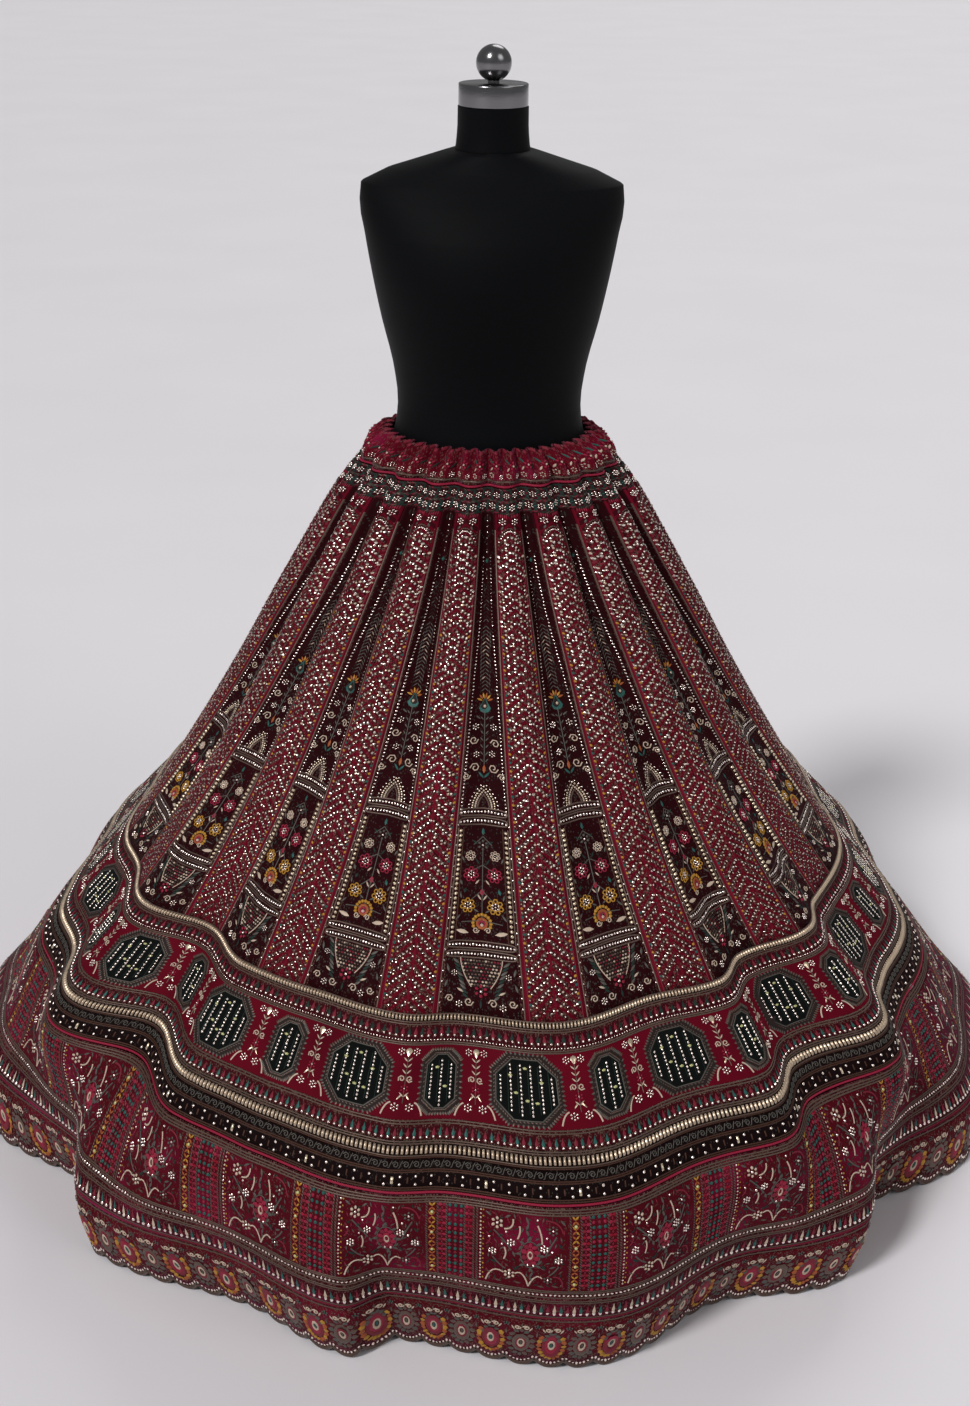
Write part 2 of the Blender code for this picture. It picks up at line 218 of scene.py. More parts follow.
def level_radius(angle, height):
    """An oval that turns squarer towards the hem, times one plus the folds at this height."""
    side, front, back, border, hem = (smooth(RINGS, k, height) for k in range(1, 6))
    turn = np.radians(angle)
    ratio = np.where(np.cos(turn) > 0, front, back)
    power = 2 + 4 * np.clip(1 - height / FLOUNCE_SEAM, 0, 1)
    oval = ratio + (1 - ratio) * np.abs(np.sin(turn)) ** power
    folds = border * fold_wave(BORDER_FOLDS, angle) + hem * fold_wave(HEM_FOLDS, angle)
    return side * oval * (1 + folds)


def skirt_radius(angle, height):
    """The folded oval plus half a cosine out on each chevron gore and in on each vase gore."""
    half, bow, dip = (smooth(FLUTES, k, height) for k in (1, 2, 3))
    place = angle / PITCH
    off = np.abs(place - np.round(place))
    out = bow * np.cos(np.pi * (off - 0.5) / (1 - 2 * half))
    back = -dip * np.cos(np.pi * off / (2 * half))
    return level_radius(angle, height) + np.where(off < half, back, out)


def waistband_radius(angle, height):
    """From the skirt at the seam up to the form's oval, in puffs with a bulge at half height."""
    rise = (height - WAIST_SEAM) / (WAISTBAND_TOP - WAIST_SEAM)
    gather = 0.5 - 0.5 * np.cos(np.radians(angle) * GATHERS)
    uneven = 1 + 0.2 * np.sin(2.3 * np.floor(angle * GATHERS / 360))
    turn = np.radians(angle)
    width, depth = smooth(TORSO, 1, height), smooth(TORSO, 2, height)
    form = 1 / np.sqrt((np.sin(turn) / width) ** 2 + (np.cos(turn) / depth) ** 2)
    on_form = form + WALL + SEAM_GAP + PUFF * gather * uneven
    bulge = PUFF_BULGE * gather * uneven * np.sin(np.pi * rise)
    seam = skirt_radius(angle, np.full_like(height, WAIST_SEAM))
    return seam * (1 - rise) + on_form * rise + bulge


def on_cloth(angle, height, lift, radius=skirt_radius):
    """A point of the cloth, moved out by lift along the cross product of a short step round the
    skirt and a short step up it."""

    def point(angle, height):
        reach, turn = radius(angle, height), np.radians(angle)
        return np.stack([reach * np.sin(turn), -reach * np.cos(turn), height], axis=-1)

    angle, height = np.broadcast_arrays(np.asarray(angle, float), np.asarray(height, float))
    here = point(angle, height)
    normal = np.cross(
        point(angle + 0.05, height) - point(angle - 0.05, height),
        point(angle, height + 0.0005) - point(angle, height - 0.0005),
    )
    normal /= np.linalg.norm(normal, axis=-1, keepdims=True)
    return here + normal * np.asarray(lift)[..., None]


# Cloth lengths: the height of each step down the centre front, and the arc round each ring.
STEPS = np.linspace(WAIST_SEAM, 0, 1200)
FRONT = level_radius(np.zeros_like(STEPS), STEPS)
DOWNS = np.concatenate([[0], np.cumsum(np.hypot(np.diff(FRONT), np.diff(STEPS)))])


def height_at(down):
    """The height of the cloth this far down the centre front."""
    return np.interp(down, DOWNS, STEPS)


def down_at(height):
    """How far down the centre front the cloth has this height."""
    return np.interp(-np.asarray(height, float), -STEPS, DOWNS)


def vase_half(down):
    """Half the width of the vase gore at the centre front."""
    height = height_at(down)
    return np.interp(down, DOWNS, FRONT) * np.radians(PITCH * smooth(FLUTES, 1, height))


def chevron_half(down):
    """Half the width of a chevron gore there: what is left of the repeat."""
    return np.interp(down, DOWNS, FRONT) * np.radians(PITCH / 2) - vase_half(down)


def gore_ground(middles):
    """Lays local places (across, down) on gores whose middles are at these angles: across over
    the front radius is an angle, so that a wider gore gets a wider motif."""

    def ground(across, down):
        turn = np.degrees(across / np.interp(down, DOWNS, FRONT))
        return np.asarray(middles)[:, None] + turn, height_at(down)

    return ground


def arc_length(angles, height, radius=skirt_radius):
    """The cloth's length round the ring at this height, up to each angle."""
    points = on_cloth(angles, height, 0.0, radius)
    steps = np.linalg.norm(np.diff(points, axis=0), axis=-1)
    return np.concatenate([[0], np.cumsum(steps)])


def ring_ground(height, repeats, start=0.0):
    """Lays local places evenly by arc length round the ring at this height, once a repeat, and
    returns the ground with the repeat's length."""
    angles = np.linspace(-180, 180, 3601)
    arc = arc_length(angles, height)
    front = np.interp(0.0, angles, arc)
    length = arc[-1] / repeats

    def ground(across, down):
        place = (front + start + np.arange(repeats)[:, None] * length + across) % arc[-1]
        return np.interp(place, arc, angles), height_at(down)

    return ground, length


# Threads, sequins and beads.
THREADS = {
    # red, green, blue, metallic, roughness
    "silver": (0.92, 0.79, 0.71, 1.00, 0.26),
    "pale_gold": (0.72, 0.59, 0.43, 0.90, 0.30),
    "gilt": (0.52, 0.400, 0.290, 0.80, 0.40),
    "antique": (0.095, 0.058, 0.043, 0.45, 0.45),
    "grey": (0.088, 0.082, 0.072, 0.30, 0.50),
    "cream": (0.50, 0.39, 0.30, 0.10, 0.50),
    "pink": (0.255, 0.014, 0.038, 0.05, 0.50),
    "rose": (0.165, 0.014, 0.027, 0.05, 0.55),
    "red": (0.200, 0.004, 0.015, 0.00, 0.60),
    "teal": (0.020, 0.092, 0.080, 0.10, 0.45),
    "green": (0.012, 0.027, 0.022, 0.10, 0.55),
    "mustard": (0.40, 0.200, 0.030, 0.20, 0.45),
    "orange": (0.30, 0.080, 0.026, 0.10, 0.50),
    "black_green": (0.0016, 0.0028, 0.0022, 0.00, 0.90),
    "umber": (0.020, 0.012, 0.010, 0.10, 0.60),
    "lime": (0.46, 0.46, 0.210, 0.30, 0.35),
    "brown": (0.060, 0.026, 0.018, 0.30, 0.55),
}
DRAW = np.random.default_rng(20)
# How far each shape may lean, as a slope: no two are stitched down alike.
LEAN = {"sequin": 0.26, "bead": 0.16, "pearl": 0.10}


def polygon(count, radius, height, phase=0.0):
    """Corners of a level polygon, the first of them phase steps round from +X."""
    turn = (np.arange(count) + phase) * 2 * np.pi / count
    return np.stack([radius * np.cos(turn), radius * np.sin(turn), np.full(count, height)], -1)


def round_faces(rings, count):
    """Triangles that join each ring of count points to the next ring."""
    k = np.arange(count)
    after = (k + 1) % count
    faces = []
    for low in np.arange(rings - 1) * count:
        top = low + count
        faces.append(np.stack([low + k, low + after, top + after], -1))
        faces.append(np.stack([low + k, top + after, top + k], -1))
    return faces


def fan_faces(start, count, middle):
    """Triangles from each step of the ring that begins at start to one middle point."""
    k = np.arange(count)
    return np.stack([start + k, start + (k + 1) % count, np.full(count, middle)], -1)


def capped(*rings):
    """Rings of equal count joined from the outer one inwards, closed by a point above."""
    count = len(rings[0])
    points = np.concatenate(rings)
    cap = fan_faces((len(rings) - 2) * count, count, len(points) - 1)
    return points, np.concatenate([*round_faces(len(rings) - 1, count), cap])


def hoop(count):
    """A ring with a raised crest between its outer and inner edges."""
    rings = [polygon(count, 1.0, 0.0), polygon(count, 0.78, 1.0), polygon(count, 0.52, 0.05)]
    return np.concatenate(rings), np.concatenate(round_faces(len(rings), count))


def outline(points, crest, rise=1.0):
    """A flat outline raised to one point."""
    ring = np.array([(x, y, 0.0) for x, y in points])
    return capped(ring, np.array([(crest[0], crest[1], rise)]))


TOP_POINT = np.array([(0.0, 0.0, 1.0)])
SHAPES = {
    "sequin": capped(polygon(5, 1.0, 0.0, 0.25), TOP_POINT),
    "bead": capped(polygon(5, 1.0, 0.0, 0.25), polygon(5, 0.66, 0.78, 0.25), TOP_POINT),
    "pearl": capped(polygon(7, 1.0, 0.0), polygon(7, 0.78, 0.66), TOP_POINT),
    "rib": capped(polygon(4, 1.42, 0.0, 0.5), polygon(4, 0.85, 0.9, 0.5), TOP_POINT),
    "leaf": outline([(0, -1), (0.75, -0.3), (0.7, 0.3), (0, 1), (-0.7, 0.3), (-0.75, -0.3)], (0, 0)),
    "stitch": outline([(0, -1), (0.8, 0), (0, 1), (-0.8, 0)], (0, 0)),
    "drop": outline(
        [(0, -1), (0.7, -0.75), (1, -0.3), (0.5, 0.3), (0, 1), (-0.5, 0.3), (-1, -0.3), (-0.7, -0.75)],
        (0, -0.35),
    ),
    "hoop": hoop(9),
    "petal": hoop(6),
}


# All the work stands this far off the cloth, and a cord has this section: across, then up.
BASE_LIFT = 0.0003
CORD_PROFILE = ((-1.0, 0.0), (0.0, 1.0), (1.0, 0.0))


class Work:
    """Embroidery still in the flat: small raised shapes and lines at (across, down)."""

    def __init__(self):
        self.shapes, self.lines, self.patches = [], [], []

    def add(self, shape, thread, across, down, wide, tall=None, turn=0.0, rise=0.0008):
        """Shapes of half width wide and half height tall, turned by degrees from upright."""
        tall = wide if tall is None else tall
        rows = np.broadcast_arrays(across, down, wide, tall, np.radians(turn), rise)
        self.shapes.append((shape, thread, np.stack(rows).reshape(6, -1)))

    def strew(self, shape, threads, across, down, wide, tall=None, turn=0.0, rise=0.0008):
        """As add, each shape in a thread drawn from the list: one named twice is twice as likely."""
        tall = wide if tall is None else tall
        rows = [row.ravel() for row in np.broadcast_arrays(across, down, wide, tall, turn, rise)]
        drawn = np.array(threads)[DRAW.integers(len(threads), size=rows[0].size)]
        for thread in sorted(set(threads)):
            self.add(shape, thread, *(row[drawn == thread] for row in rows))

    def line(self, thread, across, down, wide, rise=0.0008, closed=False):
        """A rounded cord along a path, wide to either side of it."""
        across, down = np.broadcast_arrays(np.asarray(across, float), np.asarray(down, float))
        self.lines.append((thread, across, down, wide, rise, closed))

    def patch(self, thread, across, down, rise=0.0004):
        """A flat inlay that fills an outline, in shrinking copies of it."""
        self.patches.append((thread, np.asarray(across), np.asarray(down), rise))


def copies(place, lift, radius, faces, thread):
    """Points of one copy at each of the ground's places, moved out by lift, with the faces of
    them all and their thread."""
    angle, height = np.broadcast_arrays(*place)
    points = on_cloth(angle, height, np.broadcast_to(lift, angle.shape), radius).reshape(-1, 3)
    starts = np.arange(angle.shape[0]) * angle.shape[1]
    return points, (starts[:, None, None] + faces).reshape(-1, 3), thread


def laid_shapes(work, ground, radius):
    """Each shape's points, turned and sized in the flat, then laid on the ground and leaned a
    little: lift = rise z + lean . (right, up). Yields points, faces and thread."""
    for shape, thread, (across, down, wide, tall, turn, rise) in work.shapes:
        points, faces = SHAPES[shape]
        right = wide[:, None] * points[:, 0]
        up = tall[:, None] * points[:, 1]
        cos, sin = np.cos(turn)[:, None], np.sin(turn)[:, None]
        x = (across[:, None] + cos * right - sin * up).ravel()
        y = (down[:, None] - sin * right - cos * up).ravel()
        place = ground(x, y)
        slope = DRAW.normal(0, LEAN.get(shape, 0.05), (2, len(place[0]), len(across), 1))
        lift = rise[:, None] * points[:, 2] + BASE_LIFT + slope[0] * right + slope[1] * up
        lift = np.maximum(lift, 0.0).reshape(len(place[0]), -1)
        starts = np.arange(len(across)) * len(points)
        faces = (starts[:, None, None] + faces).reshape(-1, 3)
        yield copies(place, lift, radius, faces, thread)


def laid_lines(work, ground, radius):
    """Each cord's points: the path plus its left normal times the profile, laid on the ground."""
    for thread, across, down, wide, rise, closed in work.lines:
        if closed:
            slope_x = (np.roll(across, -1) - np.roll(across, 1)) / 2
            slope_y = (np.roll(down, -1) - np.roll(down, 1)) / 2
        else:
            slope_x, slope_y = np.gradient(across), np.gradient(down)
        length = np.hypot(slope_x, slope_y)
        side = np.array([p[0] for p in CORD_PROFILE]) * wide
        x = across[:, None] + side * (slope_y / length)[:, None]
        y = down[:, None] - side * (slope_x / length)[:, None]
        lift = np.broadcast_to([BASE_LIFT + rise * p[1] for p in CORD_PROFILE], x.shape)
        faces = grid_faces(len(across), len(CORD_PROFILE), closed)
        yield copies(ground(x.ravel(), y.ravel()), lift.ravel(), radius, faces, thread)


def laid_patches(work, ground, radius):
    """Each inlay's points: its outline at full size and at two smaller sizes about its middle."""
    scales = (1.0, 0.97, 0.50)
    for thread, across, down, rise in work.patches:
        middle_x, middle_y = across.mean(), down.mean()
        x = np.concatenate([middle_x + s * (across - middle_x) for s in scales] + [[middle_x]])
        y = np.concatenate([middle_y + s * (down - middle_y) for s in scales] + [[middle_y]])
        count = len(across)
        lift = np.full(len(x), BASE_LIFT + rise)
        lift[:count] = BASE_LIFT
        _, faces = capped(*[np.zeros((count, 3))] * len(scales), TOP_POINT)
        yield copies(ground(x, y), lift, radius, faces, thread)


def grid_faces(rows, columns, closed=False):
    """Triangles of a grid whose rows run along a path, with its columns to the left of it."""
    i, j = np.meshgrid(np.arange(rows if closed else rows - 1), np.arange(columns - 1), indexing="ij")
    a = (i * columns + j).ravel()
    b = ((i + 1) % rows * columns + j).ravel()
    return np.concatenate([np.stack([a, b, b + 1], -1), np.stack([a, b + 1, a + 1], -1)])


def embroider(name, slot, *works, radius=skirt_radius):
    """One piece from works and their grounds: a material slot for each thread in use."""
    points, faces, threads, start = [], [], [], 0
    for work, ground in works:
        for laid in (laid_shapes, laid_lines, laid_patches):
            for p, f, thread in laid(work, ground, radius):
                points.append(p)
                faces.append(f + start)
                threads.append((thread, len(f)))
                start += len(p)
    used = sorted({thread for thread, _ in threads})
    index = np.concatenate([np.full(count, used.index(thread)) for thread, count in threads])
    obj = new_mesh(name, np.concatenate(points), np.concatenate(faces))
    for thread in used:
        obj.data.materials.append(thread_material(thread))
    obj.data.polygons.foreach_set("material_index", index.astype(np.int32))
    return finish_piece(obj, slot)


def new_object(name, data):
    """An object of this mesh, light or camera, linked to the scene."""
    obj = bpy.data.objects.new(name, data)
    bpy.context.scene.collection.objects.link(obj)
    return obj


def new_mesh(name, points, faces):
    """A mesh object from an array of points and an array of faces of equal size."""
    mesh = bpy.data.meshes.new(name)
    points, faces = np.asarray(points, np.float32), np.asarray(faces, np.int32)
    mesh.vertices.add(len(points))
    mesh.vertices.foreach_set("co", points.ravel())
    mesh.loops.add(faces.size)
    mesh.loops.foreach_set("vertex_index", faces.ravel())
    mesh.polygons.add(len(faces))
    mesh.polygons.foreach_set("loop_start", np.arange(len(faces), dtype=np.int32) * faces.shape[1])
    mesh.update(calc_edges=True)
    mesh.validate()
    return new_object(name, mesh)


def finish_piece(obj, slot, *nodes):
    """Puts a piece on the body, in place of the frame's nodes that it covers, which it hides. Its slot is
    not used.
    """
    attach(obj, "root")
    if nodes:
        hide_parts(*nodes)
    return obj


def cloth(name, finish, angle, height, ring, across, radius=skirt_radius, thickness=0.0014):
    """A shell through a grid of places, its rows from the top down, with two UV maps: "cloth" is
    (across, down) in metres, and "share" runs -1 to 1 across and 0 to 1 down."""
    rows, columns = angle.shape
    points = on_cloth(angle, height, 0.0, radius)
    i, j = np.meshgrid(np.arange(rows - 1), np.arange(columns if ring else columns - 1), indexing="ij")
    i, j = i.ravel(), j.ravel()
    k = j + 1
    corners = np.stack([i, i + 1, i + 1, i], -1), np.stack([j, j, k, k], -1)
    obj = new_mesh(name, points.reshape(-1, 3), corners[0] * columns + corners[1] % columns)
    mesh = obj.data
    down = down_at(height) if radius is skirt_radius else WAISTBAND_TOP - height
    down = np.concatenate([down, down[:, :1]], axis=1)
    share_x = np.linspace(-1, 1, across.shape[1])[corners[1]]
    share_y = corners[0] / (rows - 1)
    for label, u, v in (("cloth", across[corners], -down[corners]), ("share", share_x, share_y)):
        layer = mesh.uv_layers.new(name=label)
        layer.data.foreach_set("uv", np.stack([u, v], -1).astype("f").ravel())
    mesh.materials.append(finish)
    mesh.shade_smooth()
    thicken = obj.modifiers.new("thickness", "SOLIDIFY")
    thicken.thickness = thickness
    thicken.offset = -1.0
    thicken.use_even_offset = True
    return obj


def ring_cloth(name, finish, top, foot, rows, columns, middle=None, radius=skirt_radius):
    """A whole round of cloth between two seams, where foot is one height or one for each column.
    Its across value is the arc length at the middle height."""
    angle = np.linspace(0, 360, columns + 1)
    arc = arc_length(angle, (top + foot) / 2 if middle is None else middle, radius)
    height = np.linspace(top, np.broadcast_to(foot, columns), rows)
    grid = np.broadcast_to(angle[:-1], height.shape)
    across = np.broadcast_to(arc, (rows, columns + 1))
    return cloth(name, finish, grid, height, True, across, radius), arc[-1]


# Materials.
class Tree:
    """Adds shader nodes to a node tree and joins them."""

    def __init__(self, tree):
        self.tree = tree

    def node(self, kind, inputs=(), **settings):
        made = self.tree.nodes.new("ShaderNode" + kind)
        for key, value in settings.items():
            setattr(made, key, value)
        for key, value in dict(inputs).items():
            self.feed(made.inputs[key], value)
        return made

    def feed(self, socket, value):
        """Links a socket, or sets its value: a colour of three parts is opaque."""
        if isinstance(value, bpy.types.NodeSocket):
            self.tree.links.new(value, socket)
        else:
            socket.default_value = (*value, 1.0) if socket.type == "RGBA" and len(value) == 3 else value

    def solid(self):
        """The place in space, which no seam of the cloth cuts."""
        return self.node("TexCoord").outputs["Object"]

    def grey(self, value):
        return self.node("CombineColor", {k: value for k in (0, 1, 2)}).outputs[0]

    def math(self, operation, a, b=0.0, c=0.0):
        return self.node("Math", {0: a, 1: b, 2: c}, operation=operation).outputs[0]

    def mix(self, factor, a, b, blend="MIX"):
        inputs = {0: factor, 6: a, 7: b}
        return self.node("Mix", inputs, data_type="RGBA", blend_type=blend).outputs[2]

    def noise(self, place, scale, detail=2.0):
        inputs = {"Vector": place, "Scale": scale, "Detail": detail}
        return self.node("TexNoise", inputs).outputs["Fac"]

    def uv(self, name):
        return self.node("UVMap", uv_map=name).outputs["UV"]

    def span(self, value, low, high, to_low=0.0, to_high=1.0):
        inputs = {0: value, 1: low, 2: high, 3: to_low, 4: to_high}
        return self.node("MapRange", inputs).outputs[0]

    def steps(self, value, stops):
        """A ramp that holds each stop's colour until the next stop."""
        ramp = self.node("ValToRGB", {0: value})
        ramp.color_ramp.interpolation = "CONSTANT"
        elements = ramp.color_ramp.elements
        while len(elements) < len(stops):
            elements.new(1.0)
        for element, (at, colour) in zip(elements, stops):
            element.position = at
            element.color = colour
        return ramp


def effect_group(name, inputs, outputs):
    """An empty node group with named float or vector sockets, and its input and output nodes."""
    group = bpy.data.node_groups.new(name, "ShaderNodeTree")
    for label, kind in inputs:
        group.interface.new_socket(name=label, in_out="INPUT", socket_type=kind)
    for label, kind in outputs:
        group.interface.new_socket(name=label, in_out="OUTPUT", socket_type=kind)
    tree = Tree(group)
    given, put = (group.nodes.new("NodeGroup" + end) for end in ("Input", "Output"))
    return tree, given.outputs, put.inputs


def nap_group():
    """Velvet pile: broad patches where the pile leans, which tone the colour at random and mark where a
    magenta sheen is painted into it, and fine grain for the bump.
    """
    if "velvet nap" in bpy.data.node_groups:
        return bpy.data.node_groups["velvet nap"]
    outputs = [("Tone_and_sheen", "NodeSocketFloat"), ("Grain", "NodeSocketFloat")]
    tree, given, put = effect_group("velvet nap", [("Place", "NodeSocketVector")], outputs)
    broad = tree.noise(given["Place"], 16.0, 3.0)
    fine = tree.noise(given["Place"], 700.0, 1.0)
    tree.feed(put["Tone_and_sheen"], tree.math("MULTIPLY_ADD", broad, 0.9, 0.55))
    tree.feed(put["Grain"], fine)
    return tree.tree


def fill_group():
    """Close stitching: a cell for each stitch, drawn out along the rows, with its own tone."""
    if "close stitches" in bpy.data.node_groups:
        return bpy.data.node_groups["close stitches"]
    inputs = [("Place", "NodeSocketVector"), ("Stitch", "NodeSocketFloat")]
    outputs = [(k, "NodeSocketFloat") for k in ("Mask", "Tone", "Height")]
    tree, given, put = effect_group("close stitches", inputs, outputs)
    place = tree.node("Mapping", {"Vector": given["Place"], "Scale": (1.0, 0.62, 1.0)})
    density = tree.math("DIVIDE", 1.0, given["Stitch"])
    cells = tree.node("TexVoronoi", {"Vector": place.outputs[0], "Scale": density})
    split = tree.node("SeparateColor", {0: cells.outputs["Color"]})
    hill = tree.span(cells.outputs["Distance"], 0.62, 0.18)
    tree.feed(put["Mask"], hill)
    tree.feed(put["Tone"], split.outputs[0])
    tree.feed(put["Height"], hill)
    return tree.tree


SHADER_SOCKETS = {
    "specular": "Specular IOR Level", "sheen": "Sheen Weight",
    "sheen_roughness": "Sheen Roughness", "sheen_tint": "Sheen Tint",
}


def principled(name, colour, metallic, roughness, **others):
    """A material with its shader's values set, and others named in SHADER_SOCKETS."""
    made = bpy.data.materials.new(name)
    made.use_nodes = True
    shader = made.node_tree.nodes["Principled BSDF"]
    shader.inputs["Base Color"].default_value = (*colour, 1.0)
    shader.inputs["Metallic"].default_value = metallic
    shader.inputs["Roughness"].default_value = roughness
    for key, value in others.items():
        shader.inputs[SHADER_SOCKETS[key]].default_value = value
    return made, Tree(made.node_tree), shader


def bumped(tree, shader, height, distance):
    """Bends the shader's normal by a height, raised this far at most."""
    bump = tree.node("Bump", {"Strength": 0.6, "Distance": distance, "Height": height})
    tree.feed(shader.inputs["Normal"], bump.outputs[0])


def mottle(tree, shader, tone, colour, low, high):
    """Base colour between low and high times a colour, no part of it above one."""
    ends = [tuple(min(1.0, k * part) for part in colour) for k in (low, high)]
    tree.feed(shader.inputs["Base Color"], tree.mix(tone, *ends))


def thread_material(thread):
    """One thread, sequin or bead: its colour, and a fine grain so that no two catch light alike."""
    name = "thread_" + thread
    if name in bpy.data.materials:
        return bpy.data.materials[name]
    *colour, metallic, roughness = THREADS[thread]
    specular = 0.5 if metallic > 0.4 else 0.12
    made, tree, shader = principled(name, colour, metallic, roughness, specular=specular)
    bumped(tree, shader, tree.noise(tree.solid(), 420.0), 0.0004)
    return made


def velvet(name, zones_of, stitch=0.0016, tint=(1.0, 0.12, 0.30), pile=0.05, painted_sheen=0.0):
    """Velvet with close stitching. zones_of(tree) gives the ground colour, the thread colour and
    the share of stitches at each place. The last argument sets a painted sheen: how far the ground
    colour turns to magenta in the nap's broad patches where the pile leans."""
    made, tree, shader = principled(
        name, (0.1, 0.0, 0.0), 0.0, 0.72, specular=0.05, sheen=pile, sheen_roughness=0.35,
        sheen_tint=(*tint, 1.0),
    )
    nap = tree.node("Group", node_tree=nap_group())
    tree.feed(nap.inputs["Place"], tree.solid())
    fill = tree.node("Group", node_tree=fill_group())
    tree.feed(fill.inputs["Place"], tree.uv("cloth"))
    tree.feed(fill.inputs["Stitch"], stitch)
    ground, thread, amount = zones_of(tree)
    # painted sheen: where the nap's broad patches are highest, the ground colour turns toward magenta
    painted_sheen_patches = tree.span(nap.outputs["Tone_and_sheen"], 1.02, 1.20, 0.0, painted_sheen)
    ground = tree.mix(painted_sheen_patches, ground, PAINTED_SHEEN_MAGENTA)
    ground = tree.mix(1.0, ground, tree.grey(nap.outputs["Tone_and_sheen"]), "MULTIPLY")
    chosen = tree.math("LESS_THAN", fill.outputs["Tone"], amount)
    mask = tree.math("MULTIPLY", fill.outputs["Mask"], chosen)
    bright = tree.math("MULTIPLY_ADD", fill.outputs["Tone"], 1.1, 0.45)
    thread = tree.mix(1.0, thread, tree.grey(bright), "MULTIPLY")
    tree.feed(shader.inputs["Base Color"], tree.mix(mask, ground, thread))
    relief = tree.math("MULTIPLY_ADD", mask, 1.0, tree.math("MULTIPLY", nap.outputs["Grain"], 0.35))
    bumped(tree, shader, relief, 0.0006)
    return made


def banded(top, foot, rows):
    """Zones for a round of cloth from top to foot, in millimetres down. Each row is where it
    starts, its ground colour, its thread colour and its share of stitches."""

    def zones(tree):
        down = tree.node("SeparateXYZ", {0: tree.uv("cloth")}).outputs["Y"]
        share = tree.span(down, -top * MM, -foot * MM)
        places = [max(0.0, (row[0] - top) / (foot - top)) for row in rows]
        ground = tree.steps(share, [(at, (*row[1], 1.0)) for at, row in zip(places, rows)])
        thread = tree.steps(share, [(at, (*row[2], row[3])) for at, row in zip(places, rows)])
        return ground.outputs["Color"], thread.outputs["Color"], thread.outputs["Alpha"]

    return zones


# Colours of the velvet, of the close stitching, of the magenta sheen painted where the pile leans, and of
# the form's metal.
CRIMSON = (0.094, 0.0012, 0.0080)
RED_LINE = (0.125, 0.0035, 0.013)
WINE = (0.066, 0.0022, 0.0062)
DEEP = (0.036, 0.0018, 0.0046)
MAROON = (0.0170, 0.0009, 0.0018)
BLACKISH = (0.0060, 0.0018, 0.0020)
OLD_GOLD = (0.135, 0.084, 0.062)
OLD_ROSE = (0.200, 0.070, 0.064)
OLD_GREY = (0.072, 0.066, 0.056)
OLIVE = (0.045, 0.048, 0.038)
# painted sheen: the magenta of the velvet's sheen, mixed into its colour in patches
PAINTED_SHEEN_MAGENTA = (0.150, 0.0040, 0.028)
CHROME = (0.20, 0.195, 0.20)
ENAMEL = (0.012, 0.012, 0.014)


# Chevron rows: the step between rows is ROW_STEP + ROW_GROWTH times the length of cloth above.
ROW_STEP = 0.0088
ROW_GROWTH = 0.0080
ROW_TOP = 0.060
ROW_BASE = ROW_STEP + ROW_GROWTH * ROW_TOP
# The slanting hatch between the rows, and the red line down the middle of the lower part.
HATCH_STEP = 0.0026
LINE_TOP = 0.335
LINE_HALF = 0.0012
# Shares of a gore's half width where its edge strips begin, and how far down the yoke ends.
CHEVRON_RIM, CHEVRON_EDGE, VASE_EDGE = 0.73, 0.84, 0.93
YOKE_FOOT = 0.036


def row_at(phase):
    """Where a row lies: the inverse of phase = ln((step + growth row) / base) / growth."""
    return (ROW_BASE * np.exp(ROW_GROWTH * phase) - ROW_STEP) / ROW_GROWTH


def metres_of(tree):
    """Metres across from the middle, and down the cloth."""
    parts = tree.node("SeparateXYZ", {0: tree.uv("cloth")})
    return tree.math("ABSOLUTE", parts.outputs["X"]), tree.math("MULTIPLY", parts.outputs["Y"], -1.0)


def share_of(tree):
    """The share of the way from the middle to either edge."""
    parts = tree.node("SeparateXYZ", {0: tree.uv("share")})
    return tree.math("ABSOLUTE", parts.outputs["X"])


def yoke_over(tree, down, ground, thread, amount):
    """Grey-green stitching over dark velvet above the gores' motifs."""
    yoke = tree.math("LESS_THAN", down, YOKE_FOOT)
    ground = tree.mix(yoke, ground, DEEP)
    thread = tree.mix(yoke, thread, OLIVE)
    above = tree.math("LESS_THAN", down, ROW_TOP - 0.003)
    amount = tree.math("MULTIPLY", amount, tree.math("SUBTRACT", 1.0, above))
    return ground, thread, tree.math("MAXIMUM", amount, tree.math("MULTIPLY", yoke, 0.55))


